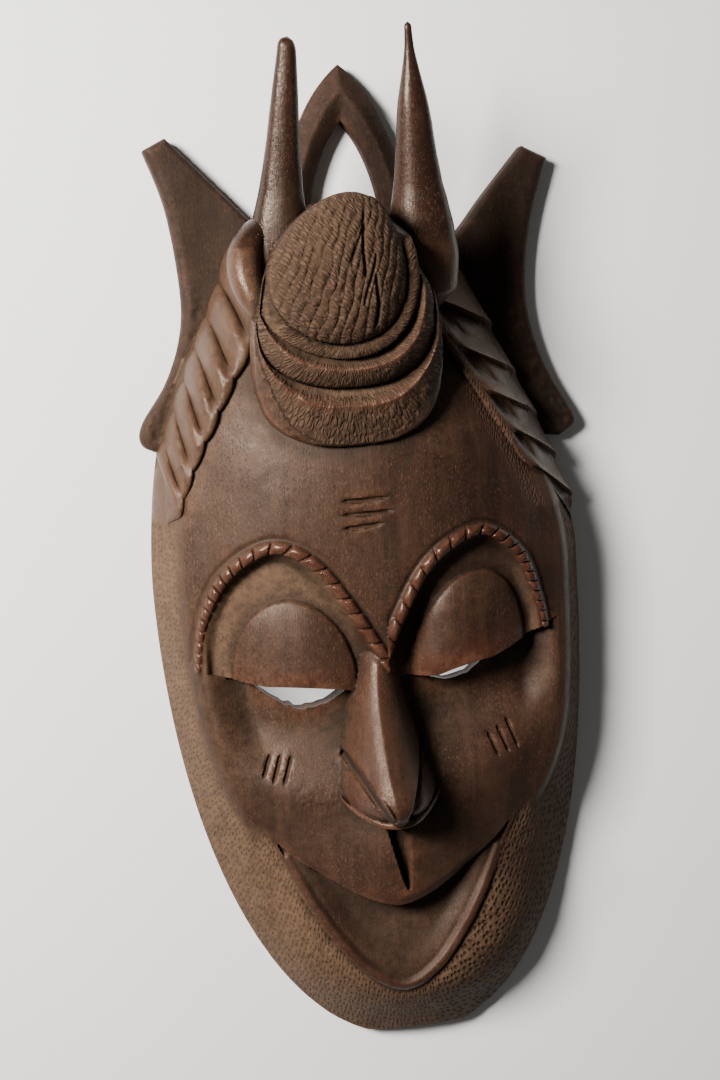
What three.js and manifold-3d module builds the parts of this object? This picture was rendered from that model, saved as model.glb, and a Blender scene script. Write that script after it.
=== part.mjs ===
// African mask, carved from one block of dark wood: an oval face under a crown with an egg-shaped
// knot on two rolls, a pair of horns, two braids, two wings and a loop to hang it by.
// Millimetres. The mask lies on its back: x runs across the face, y from the chin to the horns,
// z from the flat back rim out of the face.

import * as THREE from 'three';
import { mergeVertices } from 'three/addons/utils/BufferGeometryUtils.js';
import Module from 'manifold-3d';

const wasm = await Module();
wasm.setup();

const { clamp, smoothstep, lerp } = THREE.MathUtils;

// Driving dimensions: the oval block
const dome = { power: 2.4, sidePower: 1.5 };
const oval = {
  widest: 265,
  halfWidth: 118,
  reachDown: 270,
  reachUp: 200,
  fullnessDown: 2.2,
  fullnessUp: 1.7,
  crownEnd: 462,
  rim: 10,
};

// The carver's centre line leans: right at the chin, left at the crown
const lean = { middle: 1.5, chin: 12.5, chinPower: 1.3, chinUpTo: 260, crown: 7.5, crownFrom: 265, crownTo: 385 };

// Heights out of the back plane, each given at places up the face
const crestHeights = [
  [0, 30], [36, 47], [60, 50], [90, 60], [130, 66], [180, 66], [225, 69], [260, 74],
  [300, 79], [340, 83], [380, 85], [420, 82], [445, 74], [466, 60],
];
const ridgeHeights = [[0, 30], [36, 44], [115, 43], [200, 42], [300, 45], [380, 50], [430, 48], [466, 34]];

// The ridge where the face turns into the side, as a share of the oval
const sideRidge = { share: 0.842, leftPinch: 0.078, rightPinch: 0.125, pinchAt: 110, pinchSpread: 42 };
const bead = { height: 2, halfWidth: 5, from: 115, full: 150, fade: 300, to: 335 };

// Eyes: the brow cords, the line below the lids and the lids themselves, left and right
const brow = { radius: 4.8, sunk: 1.3, notches: 14, notchWidth: 2.6, notchDepth: 2.4, notchTurn: 0.6 };
const browPaths = [
  [[-97, 222], [-93, 247], [-80, 272], [-57, 286], [-36, 277], [-17, 251], [2, 219]],
  [[-3, 221], [7, 246], [22, 272], [42, 286], [58, 287], [76, 272], [87, 245], [90, 232]],
];
const eyeLines = [
  { side: -1, inner: 25, y: 208, rise: 12, reach: 71 },
  { side: 1, inner: 20, y: 212, rise: 21, reach: 72 },
];
const eyeLineCurl = 1.55;
const lids = [
  { x: -47, halfWidth: 32.5, height: 48 },
  { x: 46, halfWidth: 31.5, height: 50 },
];
const eye = { socket: 8, socketSide: 0.05, lid: 11.5, cheek: 13, cheekFull: 8, cheekFade: 62, cheekSide: 0.1, lift: 1.5 };

// Nose, its wings and the groove below it
const noseRidge = [[128, 92], [138, 100], [150, 104], [175, 92], [200, 79], [222, 70], [236, 64]];
const noseWidth = [[128, 15], [145, 22], [157, 25], [180, 20], [209, 14.5], [236, 8]];
const nose = { foot: 133.5, footRise: 24, footReach: 27, flat: 0.1, fullness: 1.35, sideways: -1, tipSideways: -3 };
const nostril = { y: 152, leftX: -16.5, rightX: 14.5, across: 11, along: 17, base: 60, height: 82.5 };
const nostrilCuts = [[[-24, 174], [-10, 136]], [[15, 178], [7, 135]]];
const nostrilCut = { width: 6, depth: 5, height: 86 };
const philtrum = { from: [-1, 137], to: [3, 100], width: 8, depth: 6.5 };

// Mouth: a crescent between the upper lip and the lower lip
const upperLip = { x: 2, low: 87.5, rise: 31, reach: 57, curl: 1.6, muzzle: 10, muzzleSpread: 36 };
const lowerLip = { x: 5, low: 37.5, rise: 77, reachLeft: 62, reachRight: 57, curl: 1.7, roll: 4, sunk: 1.6 };
const mouth = { shallow: 2.5, deep: 7, deepFrom: 45, deepTo: 88 };
const lowerLipLine = [-57, -42, -27, -12, 5, 22, 36, 49, 60];

// Crown: the knot with its furrows, on two rolls of the given share and drop in section
const knot = {
  x: -15, y: 419.5, across: 38, along: 38.5, base: 95, height: 21, depth: 55, narrowing: 0.3, furrows: 7, furrow: 0.04,
};
const rolls = [
  { x: -14, y: 395, across: 43, along: 33, top: 101, tilt: 4 },
  { x: -12, y: 376, across: 49, along: 43, top: 93, tilt: 5 },
];
const rollProfile = [[0, 0], [0.7, 0], [0.82, -1], [0.92, -3.6], [0.98, -8], [1, -14], [0.94, -42], [0, -42]];

// Braids over the shoulders of the crown, from the horns down to the temples
const braids = [
  {
    path: [[-54, 430], [-64, 408], [-78, 380], [-91, 353], [-101, 330], [-107, 311]],
    strands: 7, halfWidth: 16, endHalfWidth: 9, inner: 1,
  },
  {
    path: [[37, 432], [47, 409], [59, 384], [74, 356], [90, 328], [103, 300]],
    strands: 6, halfWidth: 22, endHalfWidth: 12, inner: -1,
  },
];
const braid = { rise: 22, endRise: 12, slant: 13, furrow: 0.6, waist: 0.12, taper: 0.5, lean: 0.35, shrink: 1.2 };

// Horns: distance along the axis and radius there
const hornProfile = [[0, 16], [22, 14.5], [42, 11], [66, 8.3], [90, 6.6], [108, 5]];
const horns = [
  { x: -44, y: 424, z: 60, tipX: -35, tipY: 536, tipZ: 84, tipRadius: 3.2, swell: 1 },
  { x: 31, y: 424, z: 60, tipX: 24, tipY: 541, tipZ: 86, tipRadius: 1.2, swell: 1.12 },
];
const hornRoot = { radius: 11, length: 24, pointAt: 42 };
const hornDepth = 0.85;
const hornSides = 10;

// The hanging loop: a pointed arch at the back plane
const loop = { x: 0, foot: 440, tip: 534, tipInside: 505, halfWidth: 39, inside: 21, thick: 15, chamfer: 5.5 };

// Wings: flat plates at the back plane, each with plain inner sides and a curved outer edge
const wings = [
  {
    plain: [[-106, 493], [-94, 499], [-51, 454], [-34, 448], [-24, 425], [-70, 335], [-106, 333]],
    edge: [[-117, 338], [-116, 350], [-102, 371], [-93, 395], [-91, 420], [-96, 462], [-106, 493]],
  },
  {
    plain: [[112, 481], [98, 488], [56, 441], [36, 444], [24, 425], [70, 335], [112, 330]],
    edge: [[122, 334], [121, 343], [107, 369], [99, 395], [98, 422], [103, 452], [112, 481]],
  },
];
const wing = { thick: 14, chamfer: 4 };

// The hollow behind the face and the slits of the eyes
const hollow = { share: 0.865, crownShare: 0.84, power: 3 };
const hollowHeights = [[20, 26], [60, 36], [110, 38], [160, 39], [205, 38], [240, 46], [300, 56], [380, 58], [440, 40]];
const slits = [
  { from: [-68, 211.5], to: [-19, 206.5], sag: 11 },
  { from: [26, 210], to: [59, 217], sag: 5 },
];

// Clear of the front and of the back, for tools that cut right through
const above = 130;
const below = 5;

// Scar cuts: three on the forehead, three on each cheek
const scars = [
  [[-22, 308], [4, 309]], [[-22, 301], [7, 302]], [[-21, 294], [1, 296]],
  [[-63, 173], [-67, 162]], [[-57, 173], [-62, 159]], [[-52, 172], [-57, 158]],
  [[55, 176], [60, 164]], [[60, 178], [66, 165]], [[66, 182], [71, 167]],
];
const scar = { width: 2, depth: 1.6 };

// Fineness of the faceted surfaces
const fineness = { cells: 128, error: 1.5, smallest: 8 };

// Value at y of a smooth curve through stations [y, value]
function along(stations, y) {
  const last = stations.length - 1;
  if (y <= stations[0][0]) return stations[0][1];
  if (y >= stations[last][0]) return stations[last][1];
  let i = 0;
  while (y > stations[i + 1][0]) i += 1;
  const [y0, v0] = stations[i];
  const [y1, v1] = stations[i + 1];
  const [ya, va] = stations[Math.max(i - 1, 0)];
  const [yb, vb] = stations[Math.min(i + 2, last)];
  const span = y1 - y0;
  const t = (y - y0) / span;
  const slope0 = ((v1 - va) / (y1 - ya)) * span;
  const slope1 = ((vb - v0) / (yb - y0)) * span;
  const t2 = t * t;
  const t3 = t2 * t;
  return (2 * t3 - 3 * t2 + 1) * v0 + (t3 - 2 * t2 + t) * slope0 + (3 * t2 - 2 * t3) * v1 + (t3 - t2) * slope1;
}

// A traced line on the face that can tell how far away a point is
class FaceLine {
  constructor(points, steps = 32) {
    this.curve = new THREE.SplineCurve(points.map(([x, y]) => new THREE.Vector2(x, y)));
    this.points = this.curve.getSpacedPoints(steps);
  }

  distance(x, y) {
    let nearest = Infinity;
    for (let i = 1; i < this.points.length; i += 1) {
      const a = this.points[i - 1];
      const b = this.points[i];
      const dx = b.x - a.x;
      const dy = b.y - a.y;
      const t = clamp(((x - a.x) * dx + (y - a.y) * dy) / (dx * dx + dy * dy), 0, 1);
      nearest = Math.min(nearest, Math.hypot(x - a.x - t * dx, y - a.y - t * dy));
    }
    return nearest;
  }

  // Height of the line above x, where the line is a single arch
  heightAt(x) {
    for (let i = 1; i < this.points.length; i += 1) {
      const a = this.points[i - 1];
      const b = this.points[i];
      if ((x - a.x) * (x - b.x) <= 0) return lerp(a.y, b.y, (x - a.x) / (b.x - a.x || 1));
    }
    return -Infinity;
  }
}

const browLines = browPaths.map((path) => new FaceLine(path));
const lipLine = new FaceLine(lowerLipLine.map((x) => [x, lowerLipAt(x)]));

function centreX(y) {
  if (y < lean.chinUpTo) return lean.middle + lean.chin * (1 - Math.max(y, 0) / lean.chinUpTo) ** lean.chinPower;
  return lean.middle - lean.crown * smoothstep(y, lean.crownFrom, lean.crownTo);
}

function ovalHalf(y) {
  const up = y > oval.widest;
  return {
    power: up ? oval.fullnessUp : oval.fullnessDown,
    lengthwise: Math.abs(y - oval.widest) / (up ? oval.reachUp : oval.reachDown),
  };
}

// Share of the way from the middle of the oval to its edge
function ovalShare(x, y) {
  const { power, lengthwise } = ovalHalf(y);
  const crosswise = Math.abs(x - centreX(y)) / oval.halfWidth;
  return (lengthwise ** power + crosswise ** power) ** (1 / power);
}

function halfWidthAt(y, share = 1) {
  const { power, lengthwise } = ovalHalf(y);
  return oval.halfWidth * Math.max(share ** power - lengthwise ** power, 0) ** (1 / power);
}

function ridgeShare(x, y) {
  const pinch = x < centreX(y) ? sideRidge.leftPinch : sideRidge.rightPinch;
  return sideRidge.share - pinch * Math.exp(-(((y - sideRidge.pinchAt) / sideRidge.pinchSpread) ** 2));
}

// The plain block: a domed face inside the ridge, a steep side outside it
function blockHeight(x, y) {
  const share = ovalShare(x, y);
  const ridge = ridgeShare(x, y);
  const ridgeHeight = along(ridgeHeights, y);
  if (share < ridge) {
    const crest = along(crestHeights, y);
    return crest - (crest - ridgeHeight) * (share / ridge) ** dome.power;
  }
  const down = clamp((share - ridge) / (1 - ridge), 0, 1);
  return ridgeHeight - (ridgeHeight - oval.rim) * down ** dome.sidePower;
}

function eyeLineAt(side, x) {
  const line = eyeLines[side];
  const beyond = Math.max(line.side * x - line.inner, 0) / line.reach;
  return line.y + line.rise * beyond ** eyeLineCurl;
}

function upperLipAt(x) {
  return upperLip.low + upperLip.rise * (Math.abs(x - upperLip.x) / upperLip.reach) ** upperLip.curl;
}

function lowerLipAt(x) {
  const reach = x < lowerLip.x ? lowerLip.reachLeft : lowerLip.reachRight;
  return lowerLip.low + lowerLip.rise * (Math.abs(x - lowerLip.x) / reach) ** lowerLip.curl;
}

// Fades out towards the ridge at the side of the face
function insideRidge(x, y, fade) {
  return 1 - smoothstep(ovalShare(x, y), ridgeShare(x, y) - fade, ridgeShare(x, y) - 0.01);
}

function socketDepth(x, y) {
  const side = x < 0 ? 0 : 1;
  if (y > browLines[side].heightAt(x)) return 0;
  const below = eyeLineAt(side, x) - y;
  const edge = smoothstep(browLines[side].distance(x, y), 1, 9);
  return eye.socket * edge * insideRidge(x, y, eye.socketSide) * (1 - smoothstep(below, 0, 30));
}

function muzzleHeight(x, y) {
  const across = Math.exp(-(((x - upperLip.x) / upperLip.muzzleSpread) ** 2));
  return upperLip.muzzle * across * (1 - smoothstep(y, 112, 148)) * smoothstep(y - lowerLipAt(x), 0, 15);
}

function beadHeight(x, y) {
  const fade = smoothstep(y, bead.from, bead.full) * (1 - smoothstep(y, bead.fade, bead.to));
  const fromRidge = (ovalShare(x, y) - ridgeShare(x, y)) * oval.halfWidth;
  return bead.height * fade * Math.exp(-((fromRidge / bead.halfWidth) ** 2));
}

// The front before the crisp forms are cut into it or set on it
function groundHeight(x, y) {
  const height = blockHeight(x, y) + beadHeight(x, y) + muzzleHeight(x, y) - socketDepth(x, y);
  return Math.max(height, oval.rim);
}

function cheekDepth(x, y) {
  const below = eyeLineAt(x < 0 ? 0 : 1, x) - y;
  if (below < 0) return 0;
  return eye.cheek * insideRidge(x, y, eye.cheekSide) * (1 - smoothstep(below, eye.cheekFull, eye.cheekFade));
}

function cheekHeight(x, y) {
  return groundHeight(x, y) - Math.max(cheekDepth(x, y) - socketDepth(x, y), 0);
}

// Closed mesh as a solid that can be joined and cut
function toSolid(geometry) {
  geometry.deleteAttribute('normal');
  geometry.deleteAttribute('uv');
  const merged = mergeVertices(geometry, 1e-4);
  const triVerts = [];
  const { array } = merged.index;
  for (let i = 0; i < array.length; i += 3) {
    const [a, b, c] = [array[i], array[i + 1], array[i + 2]];
    if (a !== b && b !== c && c !== a) triVerts.push(a, b, c);
  }
  return new wasm.Manifold(new wasm.Mesh({
    numProp: 3,
    vertProperties: new Float32Array(merged.attributes.position.array),
    triVerts: new Uint32Array(triVerts),
  }));
}

function toGeometry(solid) {
  const mesh = solid.getMesh();
  const geometry = new THREE.BufferGeometry();
  geometry.setAttribute('position', new THREE.BufferAttribute(new Float32Array(mesh.vertProperties), 3));
  geometry.setIndex(new THREE.BufferAttribute(new Uint32Array(mesh.triVerts), 1));
  geometry.computeVertexNormals();
  return geometry;
}

function fromArrays(positions, index) {
  const geometry = new THREE.BufferGeometry();
  geometry.setAttribute('position', new THREE.Float32BufferAttribute(positions, 3));
  geometry.setIndex(index);
  return geometry;
}

// Closed solid over a grid: place(s, t) gives x, y, the height of the top and of the bottom there
function patchSolid(columns, rows, place) {
  const positions = [];
  const index = [];
  const at = (i, j, low) => (j * (columns + 1) + i) * 2 + low;
  for (let j = 0; j <= rows; j += 1) {
    for (let i = 0; i <= columns; i += 1) {
      const [x, y, top, bottom] = place(i / columns, j / rows);
      positions.push(x, y, top, x, y, bottom);
    }
  }
  for (let j = 0; j < rows; j += 1) {
    for (let i = 0; i < columns; i += 1) {
      index.push(at(i, j, 0), at(i + 1, j, 0), at(i + 1, j + 1, 0));
      index.push(at(i, j, 0), at(i + 1, j + 1, 0), at(i, j + 1, 0));
      index.push(at(i, j, 1), at(i + 1, j + 1, 1), at(i + 1, j, 1));
      index.push(at(i, j, 1), at(i, j + 1, 1), at(i + 1, j + 1, 1));
    }
  }
  const wall = (i, j, k, l) => {
    index.push(at(i, j, 0), at(i, j, 1), at(k, l, 1));
    index.push(at(i, j, 0), at(k, l, 1), at(k, l, 0));
  };
  for (let i = 0; i < columns; i += 1) {
    wall(i, 0, i + 1, 0);
    wall(i + 1, rows, i, rows);
  }
  for (let j = 0; j < rows; j += 1) {
    wall(0, j + 1, 0, j);
    wall(columns, j, columns, j + 1);
  }
  return toSolid(fromArrays(positions, index));
}

// Right-angled triangles over a square of cells, halved where the height under them needs it
function adaptiveTriangles(cells, place) {
  const spots = new Map();
  const keyOf = ([i, j]) => `${i} ${j}`;
  const spot = (at) => {
    if (!spots.has(keyOf(at))) spots.set(keyOf(at), place(...at));
    return spots.get(keyOf(at));
  };
  const middleOf = (a, b) => [(a[0] + b[0]) / 2, (a[1] + b[1]) / 2];
  const splits = new Set();

  // The apex lies opposite the long side from a to b
  const measure = (apex, a, b) => {
    const middle = middleOf(a, b);
    if (middle[0] % 1 !== 0 || middle[1] % 1 !== 0) return false;
    const [ax, ay, az] = spot(a);
    const [bx, by, bz] = spot(b);
    const [mx, my, mz] = spot(middle);
    const left = measure(middle, apex, a);
    const right = measure(middle, b, apex);
    const reach = Math.hypot(ax - bx, ay - by);
    const steep = Math.abs(az - bz) / reach;
    const off = Math.abs(mz - (az + bz) / 2) / Math.hypot(1, steep) + Math.hypot(mx - (ax + bx) / 2, my - (ay + by) / 2);
    const split = left || right || splits.has(keyOf(middle)) || (off > fineness.error && reach > fineness.smallest);
    if (split) splits.add(keyOf(middle));
    return split;
  };
  const roots = [
    [[cells, 0], [0, 0], [cells, cells]],
    [[0, cells], [cells, cells], [0, 0]],
  ];
  let before = -1;
  while (before !== splits.size) {
    before = splits.size;
    for (const root of roots) measure(...root);
  }

  const triangles = [];
  const collect = (apex, a, b) => {
    const middle = middleOf(a, b);
    if (splits.has(keyOf(middle))) {
      collect(middle, apex, a);
      collect(middle, b, apex);
    } else {
      triangles.push([apex, b, a]);
    }
  };
  for (const root of roots) collect(...root);
  return { triangles, spot, keyOf };
}

// The block with its soft forms, down to the flat back
function makeBlock() {
  const { cells } = fineness;
  const place = (i, j) => {
    const y = (oval.crownEnd * j) / cells;
    const x = centreX(y) + halfWidthAt(y) * ((2 * i) / cells - 1);
    return [x, y, groundHeight(x, y)];
  };
  const { triangles, spot, keyOf } = adaptiveTriangles(cells, place);
  const positions = [lean.middle, oval.widest, 0];
  const index = [];
  const corners = new Map();
  const corner = (at, onTop) => {
    const key = `${keyOf(at)} ${onTop}`;
    if (!corners.has(key)) {
      const [x, y, z] = spot(at);
      corners.set(key, positions.length / 3);
      positions.push(x, y, onTop ? z : 0);
    }
    return corners.get(key);
  };
  const edges = new Map();
  for (const [a, b, c] of triangles) {
    index.push(corner(a, true), corner(b, true), corner(c, true));
    for (const [p, q] of [[a, b], [b, c], [c, a]]) {
      if (!edges.delete(`${keyOf(q)} to ${keyOf(p)}`)) edges.set(`${keyOf(p)} to ${keyOf(q)}`, [p, q]);
    }
  }
  for (const [p, q] of edges.values()) {
    index.push(corner(p, true), corner(p, false), corner(q, true));
    index.push(corner(q, true), corner(p, false), corner(q, false));
    index.push(corner(q, false), corner(p, false), 0);
  }
  return toSolid(fromArrays(positions, index));
}

function cheekCut(side) {
  const out = eyeLines[side].side;
  const flank = (y) => centreX(y) + out * halfWidthAt(y, ridgeShare(out, y) - 0.012);
  return patchSolid(9, 6, (s, t) => {
    const outward = Math.sin(((out > 0 ? s : 1 - s) * Math.PI) / 2);
    const drop = eye.cheekFade * (1 - t) ** 1.2;
    const x = lerp(out * 4, flank(eyeLines[side].y - drop), outward);
    const y = eyeLineAt(side, x) - drop;
    const plain = blockHeight(x, y) + beadHeight(x, y) + muzzleHeight(x, y);
    return [x, y, above, plain + eye.lift - (cheekDepth(x, y - 0.01) * (eye.cheek + eye.lift)) / eye.cheek];
  });
}

function makeLid(side) {
  const lid = lids[side];
  return patchSolid(10, 5, (s, t) => {
    const across = -Math.cos(Math.PI * s);
    const x = lid.x + lid.halfWidth * across;
    const up = t * Math.sqrt(Math.max(1 - across * across, 0));
    const y = eyeLineAt(side, x) + lid.height * up;
    const swell = Math.sqrt(Math.max(1 - across * across - up * up, 0));
    const floor = groundHeight(x, y);
    return [x, y, floor - 0.3 + eye.lid * swell, floor - 11];
  });
}

// Rounded bar that follows a line over the front, its axis sunk below the ground there
function makeBar(line, steps, radius, sunk) {
  const spots = line.curve.getSpacedPoints(14);
  const path = new THREE.CatmullRomCurve3(
    spots.map(({ x, y }) => new THREE.Vector3(x, y, blockHeight(x, y) + beadHeight(x, y) - sunk)),
  );
  const section = new THREE.Shape();
  section.absarc(0, 0, radius, 0, Math.PI * 2);
  return toSolid(new THREE.ExtrudeGeometry(section, { extrudePath: path, steps, curveSegments: 2 }));
}

function makeNose() {
  const top = noseRidge.at(-1)[0];
  const bridge = patchSolid(8, 10, (s, t) => {
    const across = Math.sign(s - 0.5) * Math.abs(2 * s - 1) ** 1.3;
    const level = lerp(nose.foot, top, t);
    const x = lerp(nose.tipSideways, nose.sideways, smoothstep(level, 140, 220)) + across * along(noseWidth, level);
    const y = lerp(nose.foot + nose.footRise * (x / nose.footReach) ** 2, top, t);
    const slope = 1 - clamp((Math.abs(across) - nose.flat) / (1 - nose.flat), 0, 1) ** nose.fullness;
    const cheek = cheekHeight(x, y) - 0.5;
    return [x, y, cheek + Math.max(along(noseRidge, y) - cheek, 0) * slope, cheek - 12];
  });
  let solid = bridge;
  for (const x of [nostril.leftX, nostril.rightX]) {
    const ball = new THREE.SphereGeometry(1, 12, 8);
    ball.scale(nostril.across, nostril.along, nostril.height - nostril.base);
    ball.translate(x, nostril.y, nostril.base);
    solid = solid.add(toSolid(ball));
  }
  return solid;
}

function mouthCut() {
  return patchSolid(16, 4, (s, t) => {
    const x = lerp(-57, 60, s);
    const y = lerp(lowerLipAt(x), upperLipAt(x), t);
    const middle = Math.max(1 - ((x - upperLip.x) / upperLip.reach) ** 2, 0);
    const depth = mouth.shallow + mouth.deep * middle * smoothstep(y, mouth.deepFrom, mouth.deepTo);
    return [x, y, above, blockHeight(x, y) - depth];
  });
}

function makeKnot() {
  const geometry = new THREE.SphereGeometry(1, knot.furrows * 4, 9);
  const position = geometry.attributes.position;
  for (let i = 0; i < position.count; i += 1) {
    const up = position.getY(i);
    const out = position.getZ(i);
    const angle = Math.atan2(out, position.getX(i));
    const flute = 1 - knot.furrow * Math.abs(Math.sin(angle * knot.furrows));
    position.setX(i, position.getX(i) * flute * (1 - knot.narrowing * up) * knot.across);
    position.setZ(i, out * flute * (out > 0 ? knot.height : knot.depth));
    position.setY(i, up * knot.along);
  }
  geometry.translate(knot.x, knot.y, knot.base);
  return toSolid(geometry);
}

function makeRoll(roll) {
  const profile = rollProfile.map(([share, drop]) => new THREE.Vector2(share, drop));
  const geometry = new THREE.LatheGeometry(profile.reverse(), 22);
  geometry.rotateX(Math.PI / 2);
  geometry.scale(roll.across, roll.along, 1);
  const position = geometry.attributes.position;
  for (let i = 0; i < position.count; i += 1) {
    position.setZ(i, position.getZ(i) + (position.getY(i) / roll.along) * roll.tilt);
  }
  geometry.translate(roll.x, roll.y, roll.top);
  return toSolid(geometry);
}

// Rope of strands that lie across it on the slant, lower at its right edge than at its left
function makeBraid({ path, strands, halfWidth, endHalfWidth, inner }) {
  const line = new FaceLine(path);
  const length = line.curve.getLength();
  return patchSolid(6, strands * 4, (s, t) => {
    const swell = Math.abs(Math.sin(Math.PI * strands * (1 - t))) ** 0.9;
    const share = (1 - t) ** (1 / braid.shrink);
    const end = 1 - braid.taper * smoothstep(share, 0.94, 1);
    const half = lerp(halfWidth, endHalfWidth, share) * (1 - braid.waist * (1 - swell)) * end;
    const rise = lerp(braid.rise, braid.endRise, share) * (1 - braid.furrow * (1 - swell)) * end;
    const side = -Math.cos(Math.PI * s);
    const along = share + (braid.slant * side) / length;
    const inside = clamp(along, 0, 1);
    const spot = line.curve.getPointAt(inside);
    const course = line.curve.getTangentAt(inside);
    const beyond = (along - inside) * length;
    const middle = [spot.x + course.x * beyond, spot.y + course.y * beyond];
    const across = (by) => [middle[0] - course.y * by, middle[1] + course.x * by];
    const [x, y] = across(half * side);
    const flank = lerp(blockHeight(...across(-half)), blockHeight(...across(half)), (side + 1) / 2);
    const section = Math.sqrt(1 - side * side) * (1 - braid.lean * inner * side);
    return [x, y, flank + rise * section, Math.max(flank - 14, 4)];
  });
}

function makeHollow() {
  const low = oval.widest - oval.reachDown * hollow.share * 0.995;
  const high = oval.widest + oval.reachUp * hollow.crownShare * 0.985;
  return patchSolid(12, 14, (s, t) => {
    const y = lerp(low, high, 0.5 - 0.5 * Math.cos(Math.PI * t));
    const share = lerp(hollow.share, hollow.crownShare, smoothstep(y, oval.widest - 20, oval.widest + 60));
    const x = centreX(y) + halfWidthAt(y, share) * Math.sin(Math.PI * (s - 0.5));
    const depth = Math.sqrt(Math.max(1 - (ovalShare(x, y) / share) ** hollow.power, 0));
    return [x, y, along(hollowHeights, y) * depth, -below];
  });
}

// Wedge that cuts a groove from one point of the front to another, narrower at its far end
function groove([x0, y0], [x1, y1], width, depth, heightAt, narrowing = 1) {
  const flare = 1 + above / depth;
  const start = heightAt(x0, y0);
  const end = heightAt(x1, y1);
  const length = Math.hypot(x1 - x0, y1 - y0);
  const [nx, ny] = [(y0 - y1) / length, (x1 - x0) / length];
  const positions = [];
  for (const [x, y, z, size] of [[x0, y0, start, 1], [x1, y1, end, narrowing]]) {
    const half = (width * size * flare) / 2;
    positions.push(x, y, z - depth * size);
    positions.push(x + nx * half, y + ny * half, z + above * size);
    positions.push(x - nx * half, y - ny * half, z + above * size);
  }
  return toSolid(fromArrays(positions, [0, 2, 1, 3, 4, 5, 0, 1, 4, 0, 4, 3, 0, 3, 5, 0, 5, 2, 1, 2, 5, 1, 5, 4]));
}

function browNotches() {
  const cuts = [];
  for (const line of browLines) {
    for (let i = 0; i < brow.notches; i += 1) {
      const share = (i + 0.6) / brow.notches;
      const spot = line.curve.getPointAt(share);
      const course = line.curve.getTangentAt(share);
      const turn = Math.atan2(course.y, course.x) + Math.PI / 2 - brow.notchTurn;
      const dx = Math.cos(turn) * brow.radius;
      const dy = Math.sin(turn) * brow.radius;
      const crown = blockHeight(spot.x, spot.y) + beadHeight(spot.x, spot.y) - brow.sunk + brow.radius;
      const ends = [[spot.x - dx, spot.y - dy], [spot.x + dx, spot.y + dy]];
      cuts.push(groove(...ends, brow.notchWidth, brow.notchDepth, () => crown));
    }
  }
  return cuts;
}

function slitCut({ from, to, sag }) {
  return patchSolid(10, 1, (s, t) => {
    const x = lerp(from[0], to[0], s);
    const chord = lerp(from[1], to[1], s);
    const bow = 4 * s * (1 - s);
    const y = lerp(chord - sag * bow - 0.5, chord + 1.5 * bow, t);
    return [x, y, above, -below];
  });
}

function makeHorn(horn) {
  const length = Math.hypot(horn.tipX - horn.x, horn.tipY - horn.y, horn.tipZ - horn.z);
  const profile = [new THREE.Vector2(0, -hornRoot.pointAt), new THREE.Vector2(hornRoot.radius, -hornRoot.length)];
  for (const [at, radius] of hornProfile) {
    const taper = lerp(1, horn.tipRadius / hornProfile.at(-1)[1], smoothstep(at / length, 0.6, 1));
    profile.push(new THREE.Vector2(radius * horn.swell * taper, Math.min(at, length - 4)));
  }
  profile.push(new THREE.Vector2(horn.tipRadius * 0.7, length - 1), new THREE.Vector2(0, length));
  const geometry = new THREE.LatheGeometry(profile, hornSides);
  geometry.scale(1, 1, hornDepth);
  const axis = new THREE.Vector3(horn.tipX - horn.x, horn.tipY - horn.y, horn.tipZ - horn.z).normalize();
  geometry.applyQuaternion(new THREE.Quaternion().setFromUnitVectors(new THREE.Vector3(0, 1, 0), axis));
  geometry.translate(horn.x, horn.y, horn.z);
  return toSolid(geometry);
}

// Plate on the back plane whose front edge is chamfered
function plate(shape, thick, chamfer, curveSegments) {
  const geometry = new THREE.ExtrudeGeometry(shape, {
    depth: thick - chamfer,
    bevelThickness: chamfer,
    bevelSize: chamfer,
    bevelOffset: -chamfer,
    bevelSegments: 1,
    curveSegments,
  });
  const position = geometry.attributes.position;
  for (let i = 0; i < position.count; i += 1) position.setZ(i, Math.max(position.getZ(i), 0));
  return toSolid(geometry);
}

function makeWing({ plain, edge }) {
  const corners = plain.map((point) => new THREE.Vector2(...point));
  const curve = new THREE.SplineCurve([plain.at(-1), ...edge].map((point) => new THREE.Vector2(...point)));
  const shape = new THREE.Shape([...corners, ...curve.getSpacedPoints(18).slice(1, -1)]);
  return plate(shape, wing.thick, wing.chamfer, 1);
}

function makeLoop() {
  const shape = new THREE.Shape();
  shape.moveTo(loop.x - loop.halfWidth, loop.foot);
  shape.quadraticCurveTo(loop.x - loop.halfWidth * 0.75, loop.tip - 22, loop.x, loop.tip);
  shape.quadraticCurveTo(loop.x + loop.halfWidth * 0.75, loop.tip - 22, loop.x + loop.halfWidth, loop.foot);
  shape.lineTo(loop.x + loop.inside, loop.foot);
  shape.quadraticCurveTo(loop.x + loop.inside * 0.9, loop.tipInside - 22, loop.x, loop.tipInside);
  shape.quadraticCurveTo(loop.x - loop.inside * 0.9, loop.tipInside - 22, loop.x - loop.inside, loop.foot);
  return plate(shape, loop.thick, loop.chamfer, 7);
}

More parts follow.
